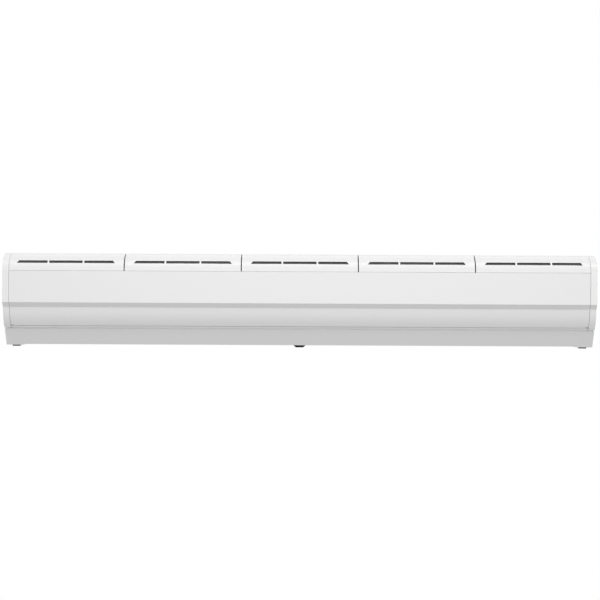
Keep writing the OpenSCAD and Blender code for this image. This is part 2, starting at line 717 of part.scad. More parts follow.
module impeller_couplings() in_case() color([0.1, 0.1, 0.1]) at(fan_u, fan_z) both_sides()
    difference() {
        union() {
            rod(coupling_r, hub_x - coupling_flange, hub_x + disc_t + coupling_flange);
            rod(coupling_r + coupling_flange, hub_x - coupling_flange, hub_x);
        }
        rod(shaft_r, 0, far);
    }
// Bearings: plain bushes in rubber holders in the outer side plates
module bearing_bushes() in_case() color([0.72, 0.6, 0.35]) at(fan_u, fan_z) both_sides()
    difference() {
        rod(bush_d / 2, side_x - 4, side_x + 6);
        rod(shaft_r + running, 0, far);
    }
module bearing_holders() in_case() color([0.1, 0.1, 0.1]) at(fan_u, fan_z) both_sides()
    difference() {
        union() {
            rod(holder_d / 2, side_x - 3, side_x + plate_t + 3);
            rod(holder_d / 2 + 3, side_x - 3, side_x);
            rod(holder_d / 2 + 3, side_x + plate_t, side_x + plate_t + 3);
        }
        rod(bush_d / 2, 0, far);
    }

// Heating tubes: two hairpins on each side, held by comb plates across the duct
tube_r = tube_d / 2;
bend_x = bay_x + 34;
module hairpin(u) at(u, heater_z) {
    for (s = [-1, 1]) at(s * tube_pitch / 2, 0) rod(tube_r, bend_x, side_x + 14);
    translate([bend_x, 0, 0]) rotate(90) rotate_extrude(angle = 180)
        translate([tube_pitch / 2, 0]) circle(tube_r);
}
module heating_tubes(side) in_case() color([0.45, 0.45, 0.46]) opposite(side)
    for (s = [-1, 1]) hairpin((nozzle_in + nozzle_out) / 2 + s * tube_pitch);
support_x = [bay_x + 50, (bay_x + side_x) / 2];
// Depth of the stabiliser's lower sheet at height z
function front_wall_u(z) =
    nozzle_out + duct_t + (z - nozzle_h) * (nose[0] + nose_r - nozzle_out - duct_t) / (nose[1] - nozzle_h);
module support_section() difference() {
    low = heater_z - tube_d;
    high = heater_z + tube_d;
    polygon([[wall_u(scroll_tangent(), scroll_end, low) + 0.2, low], [front_wall_u(low) - duct_t - 0.4, low],
        [front_wall_u(high) - duct_t - 0.4, high], [wall_u(scroll_tangent(), scroll_end, high) + 0.2, high]]);
    for (u = tube_u) translate([u, heater_z]) circle(tube_r + 0.1);
}
module heater_supports() in_case() color([0.7, 0.71, 0.72])
    for (x = support_x) run_both(x, x + sheet) support_section();
module thermal_cutout() in_case() color([0.12, 0.12, 0.13]) at(nozzle_out + 4, fascia_z + 44) {
    rod(9, side_x + plate_t, side_x + plate_t + 9);
    for (s = [-1, 1]) at(s * 5, 0)
        block(side_x + plate_t + 8, -tag_t / 2, -3, side_x + plate_t + 15, tag_t / 2, 3);
}

// Electrics in the two end bays
board_x = side_x + plate_t + 12;
board_w = 110;
board_h = 96;
board_t = 1.6;
board_face = board_x + board_t;
board = [back_in + 30, fan_z - 38, back_in + 30 + board_w, fan_z - 38 + board_h];
spacer_r = 3;
spacer_in = 2 * spacer_r;
relay = [19, 16, 15.4];
relay_pitch = 24;
transformer = [30, 28, 20.4];
capacitor_r = 6;
module control_board() in_case() color([0.1, 0.35, 0.2]) mirror([1, 0, 0]) {
    run(board_x, board_face) rect(board[0], board[1], board[2], board[3]);
    for (u = [board[0] + spacer_in, board[2] - spacer_in], z = [board[1] + spacer_in, board[3] - spacer_in])
        at(u, z) rod(spacer_r, side_x + plate_t, board_x);
    for (k = [0:2]) at(board[0] + 14 + relay_pitch * k, board[1] + 12)
        block(board_face, 0, 0, board_face + relay[2], relay[0], relay[1]);
    at(board[0] + 16, board[3] - 40)
        block(board_face, 0, 0, board_face + transformer[2], transformer[0], transformer[1]);
    for (k = [0:1]) at(board[2] - 26, board[3] - 22 - 16 * k)
        rod(capacitor_r, board_face, board_face + 3 * capacitor_r);
}
terminal_z = band_h + 12;
terminal_n = 5;
terminal_pitch = 10;
terminal_d = 24;
terminal_x = [-seam_x + 2, -side_x - plate_t - 3];
module terminal_block() in_case() color([0.85, 0.85, 0.82]) difference() {
    block(terminal_x[0], back_in, terminal_z, terminal_x[1], back_in + terminal_d,
        terminal_z + terminal_n * terminal_pitch);
    for (k = [0:terminal_n - 1])
        translate([(terminal_x[0] + terminal_x[1]) / 2, -back_in - terminal_d - cut,
            terminal_z + terminal_pitch * (k + 0.5)])
            rotate([-90, 0, 0]) cylinder(r = terminal_pitch / 4, h = terminal_d / 3);
}
can_r = 12;
can_h = 60;
can_off = can_r + 2.5;
tag_t = 0.8;
module motor_capacitor() in_case() color([0.8, 0.8, 0.78])
    translate([(side_x + plate_t + seam_x) / 2, -back_in - can_off, fascia_z + can_h / 2]) {
    cylinder(r = can_r, h = can_h);
    for (s = [-1, 1]) translate([s * can_r / 3 - tag_t / 2, -can_r / 4, can_h - cut])
        cube([tag_t, can_r / 2, can_r * 0.75]);
    translate([-can_r / 2, 0, can_h / 3]) cube([can_r, can_off, can_h / 4]);
}
// Receiver window for the remote control, hanging under the middle of the front edge
window_u = [nozzle_out + sheet + nozzle_foot + 1, band_face(under_t) - 2.3];
window_neck_w = window_w - 8;
window_neck_u = [window_u[0] + 1.5, window_u[1] - 1.5];
window_body_h = 5;
window_lean = 5;
module receiver_window() in_case() color([0.04, 0.04, 0.045]) {
    run(-window_neck_w / 2, window_neck_w / 2)
        rect(window_neck_u[0], under_t - 0.5, window_neck_u[1], floor_z + window_body_h);
    run(-window_w / 2, window_w / 2)
        rect(window_u[0], floor_z, window_u[1] - 0.6, floor_z + window_body_h);
    translate([0, -window_u[0], 0]) rotate([90, 0, 0]) linear_extrude(window_u[1] - window_u[0])
        polygon([[-window_w / 2, under_t], [-window_w / 2 + window_lean, -window_drop],
            [window_w / 2 - window_lean, -window_drop], [window_w / 2, under_t]]);
}
grommet_d = cable_d + 5;
cable_x = (side_x + plate_t + seam_x) / 2;
cable_z = mount_z + 20;
module cable_grommet() in_case() color([0.08, 0.08, 0.08]) translate([-cable_x, -back_gap, cable_z])
    rotate([90, 0, 0]) difference() {
        union() {
            translate([0, 0, -2]) cylinder(d = grommet_d, h = sheet + 4);
            translate([0, 0, -2]) cylinder(d = grommet_d + 5, h = 2);
            translate([0, 0, sheet]) cylinder(d = grommet_d + 5, h = 2);
        }
        translate([0, 0, -2 - cut]) cylinder(d = cable_d, h = sheet + 4 + 2 * cut);
    }
trunk_w = 13;
trunk_wall = 1;
trunk_z = scroll_lip[1] + lip_rise + 4;
module wiring_trunk() in_case() color([0.82, 0.82, 0.8]) run(-side_x, -bay_x - plate_t) difference() {
    rect(back_in, trunk_z, back_in + trunk_w, trunk_z + trunk_w);
    rect(back_in + trunk_wall, trunk_z + trunk_wall, back_in + trunk_w - trunk_wall,
        trunk_z + trunk_w - trunk_wall);
}

// Screws: pan heads on plain shanks
thread_r = 2;
head_r = 3.8;
head_h = 2.4;
screw_len = 12;
recess_len = 4.4;
recess_w = 0.8;
module screw(len = screw_len) {
    cylinder(r = thread_r, h = len);
    difference() {
        translate([0, 0, -head_h]) cylinder(r = head_r, h = head_h);
        for (a = [0, 90]) rotate(a) translate([-recess_len / 2, -recess_w / 2, -head_h - cut])
            cube([recess_len, recess_w, cut + head_h / 2]);
    }
}
// Flush screws: flat heads sunk into the casing's floor
flush_r = 3.4;
flush_slope = (flush_r - thread_r) / sheet;
module flush_screw(len) difference() {
    union() {
        cylinder(r1 = flush_r, r2 = thread_r, h = sheet);
        cylinder(r = thread_r, h = len);
    }
    for (a = [0, 90]) rotate(a) translate([-recess_len / 2, -recess_w / 2, -cut])
        cube([recess_len, recess_w, cut + 0.9]);
}
module cap_screws() in_case() color([0.78, 0.78, 0.79]) for (s = [0, 1], p = cap_posts) mirror([s, 0, 0])
    at(p[0], p[1]) translate([half_len - head_h - 0.2, 0, 0]) rotate([0, -90, 0]) screw();
module bottom_screws() in_case() color([0.78, 0.78, 0.79]) for (x = foot_x, u = foot_u)
    translate([x, -u, under_t]) flush_screw(2 * sheet + 3);
cradle_screw_x = [-cradle_x + 12, cradle_x - 12];
cradle_screw_z = [fan_z - cradle_h / 2 + 8, fan_z + cradle_h / 2 - 8];
module cradle_screws() in_case() color([0.78, 0.78, 0.79]) for (x = cradle_screw_x, z = cradle_screw_z)
    translate([x, -back_gap, z]) rotate([90, 0, 0]) screw(8);

wall_bracket(-bracket_x);  // wall_bracket_left
wall_bracket(bracket_x);  // wall_bracket_right
rear_chassis();
front_cover();
lower_fascia();
fascia_rail();
bottom_casing();
bottom_end_cover(-1);  // bottom_end_cover_left
bottom_end_cover(1);  // bottom_end_cover_right
end_cap(-1);  // end_cap_left
end_cap(1);  // end_cap_right
for (k = [1:grille_count]) {
    intake_grille(k);
    dust_filter(k);
}
side_plate(-1);  // side_plate_left
side_plate(1);  // side_plate_right
motor_bay_plate(-1);  // motor_bay_plate_left
motor_bay_plate(1);  // motor_bay_plate_right
scroll(-1);  // scroll_left
scroll(1);  // scroll_right
stabiliser(-1);  // stabiliser_left
stabiliser(1);  // stabiliser_right
outlet_nozzle();
outlet_guard();
deflector_vane(vane_u[1]);  // deflector_vane_front
deflector_vane(vane_u[0]);  // deflector_vane_rear
vane_link();
vane_pivot_block(-1);  // vane_pivot_block_left
vane_pivot_block(1);  // vane_pivot_block_right
motor_case();
motor_shaft();
motor_cradle();
motor_rubber_rings();
impeller(-1);  // impeller_left
impeller(1);  // impeller_right
impeller_couplings();
bearing_bushes();
bearing_holders();
heating_tubes(-1);  // heating_tubes_left
heating_tubes(1);  // heating_tubes_right
heater_supports();
thermal_cutout();
control_board();
terminal_block();
motor_capacitor();
receiver_window();
cable_grommet();
wiring_trunk();
cap_screws();
bottom_screws();
cradle_screws();
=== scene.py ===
# %% [markdown]
# # Air curtain
# An air curtain hangs over a doorway and blows a wide, flat sheet of air down from its underside.
# The measured model is loaded here as a fixed frame. Its pieces are called nodes: every casing
# panel, grille, fan and vane is one, already in place and on its joint. Nodes that move as one form
# a body. What follows gives the nodes their finish and adds the fine pieces that are too small to
# be worth measuring.

# %% Load the measured model
import json
import math
import bmesh
import bpy
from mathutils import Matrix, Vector


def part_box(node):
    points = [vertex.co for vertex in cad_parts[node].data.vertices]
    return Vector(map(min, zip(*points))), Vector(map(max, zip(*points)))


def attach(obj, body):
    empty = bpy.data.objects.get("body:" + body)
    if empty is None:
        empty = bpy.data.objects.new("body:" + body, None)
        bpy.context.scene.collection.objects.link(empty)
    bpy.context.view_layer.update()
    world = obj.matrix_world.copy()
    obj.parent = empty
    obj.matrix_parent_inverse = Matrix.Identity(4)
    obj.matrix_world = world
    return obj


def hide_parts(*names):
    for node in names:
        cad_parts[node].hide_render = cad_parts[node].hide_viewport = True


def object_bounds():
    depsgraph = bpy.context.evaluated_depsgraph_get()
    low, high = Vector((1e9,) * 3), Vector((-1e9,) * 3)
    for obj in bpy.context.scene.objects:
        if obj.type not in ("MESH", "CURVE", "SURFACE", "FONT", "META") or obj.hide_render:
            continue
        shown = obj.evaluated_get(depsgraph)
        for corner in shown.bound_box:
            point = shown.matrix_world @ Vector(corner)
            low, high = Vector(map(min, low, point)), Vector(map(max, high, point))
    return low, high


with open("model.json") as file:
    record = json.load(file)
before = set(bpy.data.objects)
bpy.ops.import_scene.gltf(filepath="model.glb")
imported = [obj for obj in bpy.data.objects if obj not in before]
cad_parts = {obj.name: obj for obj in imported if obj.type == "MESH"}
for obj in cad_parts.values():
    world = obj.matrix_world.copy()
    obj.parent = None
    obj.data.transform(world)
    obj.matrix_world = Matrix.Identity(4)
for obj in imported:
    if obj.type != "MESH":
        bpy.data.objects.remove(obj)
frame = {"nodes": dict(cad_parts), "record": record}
parts = frame["nodes"]
low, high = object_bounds()
print("size in metres:", [round(v, 4) for v in high - low])

# %% [markdown]
# ## The camera
# The photograph is taken straight from the front, level with the middle of the unit, with a long
# lens from about three and a half metres. A long lens keeps the ends from bulging, and standing
# level means that neither the top nor the underside shows. The unit fills the picture's width. The
# camera was held a quarter of a degree askew, so the same small roll is kept here. The focal length
# isn't typed in: it follows from the distance and from how much of the front one pixel covers.

# %% Place the camera
SENSOR = 36.0                    # mm, the camera's default sensor width
FRONT_DISTANCE = 3.5             # m from the lens to the front face
MM_PER_PIXEL = 2.519             # mm of front face covered by one pixel of the square picture
PICTURE = 600                    # pixels along each side
ROLL = math.radians(0.28)
LEVEL = math.radians(90)         # a camera looks straight down until it is turned up to the level
AIM_X = 0.0008                   # m, the picture's centre line on the unit
AIM_Z = -0.0121                  # m, height of the lens in the model's own frame

camera_data = bpy.data.cameras.new("camera")
camera_data.sensor_width = SENSOR
camera_data.lens = SENSOR * FRONT_DISTANCE / (MM_PER_PIXEL / 1000 * PICTURE)
camera = bpy.data.objects.new("camera", camera_data)
camera.location = (AIM_X, low.y - FRONT_DISTANCE, AIM_Z)
camera.rotation_euler = (LEVEL, -ROLL, 0)
bpy.context.scene.collection.objects.link(camera)
bpy.context.scene.camera = camera
print("lens:", round(camera_data.lens, 1), "mm")

# %% [markdown]
# ## Studio
# The background is plain white and the light is soft: it comes mostly from above and in front, so
# the top edge is the brightest and every surface that leans down is a little greyer than the one
# over it. The surroundings, the floor and the lamps share that work. Like every finish further on,
# the first two are made of nodes wired together, so a few helpers for that come first.

# %% Helpers for node trees
def add(tree, kind, **inputs):
    """Adds a node and sets its inputs by name, with spaces written as underscores."""
    node = tree.nodes.new(kind)
    for label, value in inputs.items():
        node.inputs[label.replace("_", " ")].default_value = value
    return node


def wire(tree, source, target):
    """Wires a socket to an input, or sets the input where the source is a plain value."""
    if isinstance(source, bpy.types.NodeSocket):
        tree.links.new(source, target)
    else:
        target.default_value = source


def math_node(tree, operation, first, second):
    """A Math node whose inputs are sockets or plain numbers."""
    node = tree.nodes.new("ShaderNodeMath")
    node.operation = operation
    wire(tree, first, node.inputs[0])
    wire(tree, second, node.inputs[1])
    return node.outputs[0]


def plus_share(tree, base, pattern, share):
    """A base with a share of a pattern on top of it."""
    return math_node(tree, "ADD", base, math_node(tree, "MULTIPLY", pattern, share))


print("node helpers ready")

# %% [markdown]
# **The surroundings** are what the unit mirrors, and what fills its shadows. If they were plain
# white in every way they would also be a strong lamp on all sides, and a white casing would lose
# its shape. The Light Path node tells apart who is asking: a ray from the camera, from a mirror or
# through glass sees white, and a ray that gathers light finds less than half of that.

# %% World
WHITE = (1.0, 1.0, 1.0, 1.0)
AMBIENT = 0.46                   # brightness of the surroundings as a source of light


def seen_directly(tree):
    """1 for camera, mirror and glass rays, 0 for rays that gather light."""
    path = tree.nodes.new("ShaderNodeLightPath")
    camera_ray, glossy_ray, glass_ray = (
        path.outputs[f"Is {kind} Ray"] for kind in ("Camera", "Glossy", "Transmission"))
    return math_node(tree, "MAXIMUM", math_node(tree, "MAXIMUM", camera_ray, glossy_ray), glass_ray)


def mix_shaders(tree, factor, first, second):
    """The first shader where the factor is 0, the second where it is 1."""
    node = tree.nodes.new("ShaderNodeMixShader")
    for source, target in zip((factor, first, second), node.inputs):
        wire(tree, source, target)
    return node.outputs[0]


world = bpy.data.worlds.new("studio")
bpy.context.scene.world = world
world.use_nodes = True
tree = world.node_tree
tree.nodes.clear()
lighting = add(tree, "ShaderNodeBackground", Color=WHITE, Strength=AMBIENT)
backdrop = add(tree, "ShaderNodeBackground", Color=WHITE, Strength=1.0)
around = mix_shaders(tree, seen_directly(tree), lighting.outputs[0], backdrop.outputs[0])
wire(tree, around, tree.nodes.new("ShaderNodeOutputWorld").inputs[0])
print("world:", AMBIENT, "as a light, 1.0 as seen")

# %% [markdown]
# **The floor** lies a door's height below the unit and throws light back up at its underside. A
# plain white sheet would show its own grey shading in a picture whose background is white. So where
# it is seen, half of it is a glow that brings it up to white, and the other half is real shading,
# which keeps the unit's shadow. From below it is clear, so that it never hides the unit.

# %% Floor
FLOOR_DROP = 2.1                 # m from the wall screws down to the floor
HALF_FLOOR = 5.5                 # m from its middle to each side
FLOOR_SHADOW = 0.5               # share of the real shading that the floor keeps where it is seen
FLOOR_GLOW = 1.4                 # strength of the glow that makes up the rest
BOUNCE = 0.55                    # how pale the floor is to the light that it throws back up
FACE_VALUE = 0.9                 # how pale it looks

floor_mesh = bpy.data.meshes.new("floor")
corners = [(x * HALF_FLOOR, y * HALF_FLOOR, -FLOOR_DROP)
           for x, y in ((-1, -1), (1, -1), (1, 1), (-1, 1))]
floor_mesh.from_pydata(corners, [], [(0, 1, 2, 3)])
floor = bpy.data.objects.new("floor", floor_mesh)
bpy.context.scene.collection.objects.link(floor)

floor_paint = bpy.data.materials.new("floor_paint")
floor_paint.use_nodes = True
tree = floor_paint.node_tree
tree.nodes.clear()
direct = seen_directly(tree)
matte = tree.nodes.new("ShaderNodeBsdfDiffuse")
wire(tree, plus_share(tree, BOUNCE, direct, FACE_VALUE - BOUNCE), matte.inputs["Color"])
glow = add(tree, "ShaderNodeEmission", Color=WHITE, Strength=FLOOR_GLOW)
glowing = math_node(tree, "MULTIPLY", direct, 1 - FLOOR_SHADOW)
from_above = mix_shaders(tree, glowing, matte.outputs[0], glow.outputs[0])
clear = tree.nodes.new("ShaderNodeBsdfTransparent")
side = tree.nodes.new("ShaderNodeNewGeometry")
both_sides = mix_shaders(tree, side.outputs["Backfacing"], from_above, clear.outputs[0])
wire(tree, both_sides, tree.nodes.new("ShaderNodeOutputMaterial").inputs[0])
floor_mesh.materials.append(floor_paint)
print("floor:", 2 * HALF_FLOOR, "m wide,", FLOOR_DROP, "m down")

# %% [markdown]
# **The lamps** are four broad panels. The strongest stands behind the camera, level with the unit,
# and lights the whole front. The next hangs above it and makes the rounded top the brightest part.
# Two weak ones, at the left and over the back, even out the ends and the top. Small lamps or a sun
# would draw a hard shadow under every step of the casing, and the photograph has none.

# %% Lamps
LAMP_TARGET = (0, -0.1, 0)       # m, the middle of the unit
LAMPS = [                        # name, place in m, width and height in m, watts
    ("level_panel", (0.3, -4.4, 0.3), 3.4, 1.8, 50),
    ("left_panel", (-2.2, -4.0, 0.6), 1.8, 1.8, 6),
    ("upper_panel", (0.1, -2.0, 2.6), 3.4, 1.2, 41),
    ("rear_panel", (0.1, 1.4, 2.4), 3.4, 1.2, 9)]


def panel(name, spot, width, height, watts):
    """A rectangular lamp that faces the unit."""
    data = bpy.data.lights.new(name, "AREA")
    data.shape = "RECTANGLE"
    data.size = width
    data.size_y = height
    data.energy = watts
    lamp = bpy.data.objects.new(name, data)
    lamp.location = spot
    aim = Vector(LAMP_TARGET) - Vector(spot)
    lamp.rotation_euler = aim.to_track_quat("-Z", "Y").to_euler()
    lamp.visible_camera = False
    bpy.context.scene.collection.objects.link(lamp)


for row in LAMPS:
    panel(*row)
bpy.context.scene.view_settings.view_transform = "Standard"
print(len(LAMPS), "lamps,", sum(watts for *_, watts in LAMPS), "W in all")

# %% [markdown]
# ## Effects that several finishes share
# Real surfaces are never one flat value. Powder paint has a faint orange-peel skin, moulded plastic
# a fine spark-etched grain, drawn metal long lines, and anything that has hung over a door for a
# while carries a little dust on what faces up. Each of these is built once as a node group with its
# own inputs, and every finish places the groups it needs. A group is easier to keep in step than
# copies of the same nodes in eighteen materials.

# %% Helpers for node groups
SOCKETS = {"value": "NodeSocketFloat", "colour": "NodeSocketColor"}
ANY_GREY = (0.8, 0.8, 0.8, 1.0)  # what a colour input holds until a finish sets it


def group(name, inputs, outputs):
    """An empty shader group with value or colour sockets, and its input and output nodes."""
    tree = bpy.data.node_groups.new(name, "ShaderNodeTree")
    for label, kind, start in inputs:
        socket = tree.interface.new_socket(label, in_out="INPUT", socket_type=SOCKETS[kind])
        socket.default_value = start
    for label, kind in outputs:
        tree.interface.new_socket(label, in_out="OUTPUT", socket_type=SOCKETS[kind])
    return tree, tree.nodes.new("NodeGroupInput"), tree.nodes.new("NodeGroupOutput")


def object_noise(tree, scale, detail, stretch=(1, 1, 1)):
    """Noise in the piece's own space, so that it stays put when the piece moves."""
    where = tree.nodes.new("ShaderNodeTexCoord")
    mapping = add(tree, "ShaderNodeMapping", Scale=stretch)
    noise = add(tree, "ShaderNodeTexNoise", Detail=detail)
    wire(tree, where.outputs["Object"], mapping.inputs[0])
    wire(tree, mapping.outputs[0], noise.inputs["Vector"])
    wire(tree, scale, noise.inputs["Scale"])
    return noise.outputs[0]


print("group sockets:", ", ".join(SOCKETS))

# %% [markdown]
# **Skin** is the fine relief of a sprayed or moulded surface: two sizes of noise added together,
# a long soft one and a short sharp one. One noise alone looks like clouds; the second one gives it
# bite. The group only makes a height, and each material turns that height into a normal at its own
# strength.

# %% Group: skin
SHORTER = 3.7                    # how many times finer the sharp noise is
SOFT_DETAIL, SHARP_DETAIL = 2.0, 3.0

skin, given, result = group(
    "skin", [("Scale", "value", 900.0), ("Grit", "value", 0.3)], [("Height", "value")])
soft = object_noise(skin, given.outputs["Scale"], SOFT_DETAIL)
finer = math_node(skin, "MULTIPLY", given.outputs["Scale"], SHORTER)
sharp = object_noise(skin, finer, SHARP_DETAIL)
wire(skin, plus_share(skin, soft, sharp, given.outputs["Grit"]), result.inputs["Height"])
print("group", skin.name)

# %% [markdown]
# **Uneven** shifts a colour and its roughness a little from place to place, in patches some
# centimetres wide. Paint that dries, plastic that cools and metal that is handled all do this.
# Noise runs from 0 to 1, so its middle is taken off first: the patches then go as far up as down,
# and the surface keeps its colour on the whole.

# %% Group: uneven
MIDDLE = 0.5                     # of a pattern that runs from 0 to 1
PATCH_DETAIL = 4.0


def tinted(tree, colour, pattern, contrast):
    """A colour that is lighter where a pattern is over its middle, and darker where it is under."""
    level = plus_share(tree, 1.0, math_node(tree, "SUBTRACT", pattern, MIDDLE), contrast)
    scaled = tree.nodes.new("ShaderNodeVectorMath")
    scaled.operation = "SCALE"
    wire(tree, colour, scaled.inputs[0])
    wire(tree, level, scaled.inputs["Scale"])
    return scaled.outputs[0]


uneven, given, result = group(
    "uneven",
    [("Colour", "colour", ANY_GREY), ("Shade", "value", 0.03), ("Roughness", "value", 0.4),
     ("Spread", "value", 0.06), ("Scale", "value", 14.0)],
    [("Colour", "colour"), ("Roughness", "value")])
patches = object_noise(uneven, given.outputs["Scale"], PATCH_DETAIL)
colour = tinted(uneven, given.outputs["Colour"], patches, given.outputs["Shade"])
wire(uneven, colour, result.inputs["Colour"])
centred = math_node(uneven, "SUBTRACT", patches, MIDDLE)
rough = plus_share(uneven, given.outputs["Roughness"], centred, given.outputs["Spread"])
wire(uneven, rough, result.inputs["Roughness"])
print("group", uneven.name)

# %% [markdown]
# **Dust** settles where a surface faces up. The mask follows the surface's own direction, broken up
# by noise, so that it thins out towards the upright faces. It could be painted by hand, but a mask
# that reads the direction is right on every piece without being looked after. Dust pales the colour
# and takes off the shine. Pieces that the air is drawn through simply ask for more of it.

# %% Group: dust
DUST_FROM = 0.35                 # how far up a surface faces where dust begins; 1 is straight up
CLUMP_SCALE = 38.0               # clumps about 25 mm wide
CLUMP_DETAIL = 6.0
DULLING = 0.5                    # roughness that full dust adds
FIRST_COLOUR, SECOND_COLOUR, MIXED_COLOUR = 6, 7, 2      # the Mix node's sockets for colours


def mix_colours(tree, factor, first, second):
    """The first colour where the factor is 0, the second where it is 1."""
    node = tree.nodes.new("ShaderNodeMix")
    node.data_type = "RGBA"
    wire(tree, factor, node.inputs["Factor"])
    wire(tree, first, node.inputs[FIRST_COLOUR])
    wire(tree, second, node.inputs[SECOND_COLOUR])
    return node.outputs[MIXED_COLOUR]


dust, given, result = group(
    "dust",
    [("Colour", "colour", ANY_GREY), ("Roughness", "value", 0.4), ("Amount", "value", 0.15),
     ("Dust", "colour", (0.55, 0.53, 0.50, 1.0))],
    [("Colour", "colour"), ("Roughness", "value")])
facing = dust.nodes.new("ShaderNodeNewGeometry")
split = dust.nodes.new("ShaderNodeSeparateXYZ")
wire(dust, facing.outputs["Normal"], split.inputs[0])
upward = add(dust, "ShaderNodeMapRange", From_Min=DUST_FROM, From_Max=1.0)
wire(dust, split.outputs["Z"], upward.inputs["Value"])
clumps = object_noise(dust, CLUMP_SCALE, CLUMP_DETAIL)
thickness = math_node(dust, "MULTIPLY", clumps, given.outputs["Amount"])
mask = math_node(dust, "MULTIPLY", upward.outputs[0], thickness)
paler = mix_colours(dust, mask, given.outputs["Colour"], given.outputs["Dust"])
wire(dust, paler, result.inputs["Colour"])
duller = plus_share(dust, given.outputs["Roughness"], mask, DULLING)
wire(dust, duller, result.inputs["Roughness"])
print("group", dust.name)

# %% [markdown]
# **Drawn lines** are the long marks that rolling, drawing or extruding leaves in metal. Single
# scratches would take thousands of strokes, and noise does it in one: when it is stretched far
# along the unit's length, its blobs run out into streaks. The streaks serve both as a shade and as
# a shallow relief.

# %% Group: drawn lines
LINE_SCALE = 520.0               # how fine the lines are at a density of 1
LINE_DETAIL = 4.0
ALONG_THE_UNIT = (0.012, 1, 1)   # a small scale in x draws the pattern out in x
LINE_HEIGHT = 0.6                # share of the shade that becomes relief

drawn, given, result = group(
    "drawn_lines", [("Density", "value", 1.0)], [("Line", "value"), ("Height", "value")])
fineness = math_node(drawn, "MULTIPLY", given.outputs["Density"], LINE_SCALE)
streaks = object_noise(drawn, fineness, LINE_DETAIL, ALONG_THE_UNIT)
wire(drawn, streaks, result.inputs["Line"])
wire(drawn, math_node(drawn, "MULTIPLY", streaks, LINE_HEIGHT), result.inputs["Height"])
print("group", drawn.name)

# %% [markdown]
# ## Finishes
# Each finish is one function that makes one material. The Principled shader and the fixed numbers
# stay in the material itself, and the groups feed what changes over the surface: colour, roughness
# and relief. Nearly every finish ends in the same way, with dust over it and a relief under it, so
# both are helpers too.

# %% Helpers for finishes
MM = 0.001                       # m
finishes = {}


def blank(name, **fixed):
    """A new material, its tree and its Principled shader, with fixed numbers on its own sockets."""
    paint = bpy.data.materials.new(name)
    paint.use_nodes = True
    shader = paint.node_tree.nodes["Principled BSDF"]
    for label, value in fixed.items():
        shader.inputs[label.replace("_", " ")].default_value = value
    return paint, paint.node_tree, shader


def place(tree, made, **inputs):
    """Places a node group and sets its plain inputs."""
    node = tree.nodes.new("ShaderNodeGroup")
    node.node_tree = made
    for label, value in inputs.items():
        node.inputs[label].default_value = value
    return node


def relief(tree, shader, height, depth):
    """Turns a height into a normal; depth is in millimetres."""
    bump = add(tree, "ShaderNodeBump", Strength=1.0, Distance=depth * MM)
    wire(tree, height, bump.inputs["Height"])
    wire(tree, bump.outputs[0], shader.inputs["Normal"])


def dusted(tree, shader, colour, roughness, amount):
    """Lays dust over a colour and a roughness, and feeds both to the shader."""
    over = place(tree, dust, Amount=amount)
    wire(tree, colour, over.inputs["Colour"])
    wire(tree, roughness, over.inputs["Roughness"])
    wire(tree, over.outputs["Colour"], shader.inputs["Base Color"])
    wire(tree, over.outputs["Roughness"], shader.inputs["Roughness"])


def coat_of(tree, shader, colour, shade, roughness, spread, dusty):
    """An uneven colour and roughness with a little dust over them."""
    body = place(tree, uneven, Colour=(*colour, 1.0), Shade=shade, Roughness=roughness,
                 Spread=spread)
    dusted(tree, shader, body.outputs["Colour"], body.outputs["Roughness"], dusty)


print("finish helpers ready")

# %% [markdown]
# ### White sheet and white mouldings
# The long panels are folded steel with white powder paint: satin, with a faint orange peel. The end
# caps and the grilles are moulded plastic of nearly the same white, a touch warmer and with a finer
# grain. One material for both would be simpler, but keeping the two apart, if only by a hair, is
# what makes the seams between them believable.

# %% White paint and white plastic
def powder_paint(name, colour, peel=1.0):
    """Satin powder paint; peel is the strength of its orange peel."""
    paint, tree, shader = blank(name, Coat_Weight=0.12, Coat_Roughness=0.25)
    coat_of(tree, shader, colour, shade=0.012, roughness=0.38, spread=0.05, dusty=0.05)
    orange_peel = place(tree, skin, Scale=420.0, Grit=0.25)
    relief(tree, shader, orange_peel.outputs["Height"], depth=0.06 * peel)
    return paint


def moulded(name, colour, roughness, grain, grit, depth, dusty=0.06, gloss=0.0):
    """Moulded plastic or rubber; grain, grit and depth are those of the etched mould."""
    paint, tree, shader = blank(name, Coat_Weight=gloss, Coat_Roughness=0.2)
    coat_of(tree, shader, colour, shade=0.015, roughness=roughness, spread=0.05, dusty=dusty)
    etched = place(tree, skin, Scale=grain, Grit=grit)
    relief(tree, shader, etched.outputs["Height"], depth)
    return paint


finishes["white_sheet"] = powder_paint("white_sheet", (0.835, 0.835, 0.835))
finishes["white_moulding"] = moulded(
    "white_moulding", (0.845, 0.844, 0.842), roughness=0.42, grain=1500.0, grit=0.5, depth=0.03,
    gloss=0.35)
print("white finishes:", sorted(finishes))

# %% [markdown]
# ** Painted shade on the slot walls.** The slots are dark right up to their upper edge, where their
# upper walls look down and lie in shade. That shade is painted into the colour as a dark grey. The
# walls could get a material of their own, but that would mean cutting the measured mesh. Instead
# the
# paint itself asks where it is: whatever looks down, at the height of the slots or over it, is
# painted dark grey as shade, the underside inside the shell as well.

# %% Paint shade on the slot walls
SLOT_FLOOR = 0.07                # m, over this height only slot walls and the inside look down
LOOKS_DOWN = -0.5                # height of the surface's direction; -1 is straight down
# dark grey painted as the shade on the slot walls and inside the shell
SLOT_SHADE_GREY = (0.11, 0.11, 0.112, 1.0)


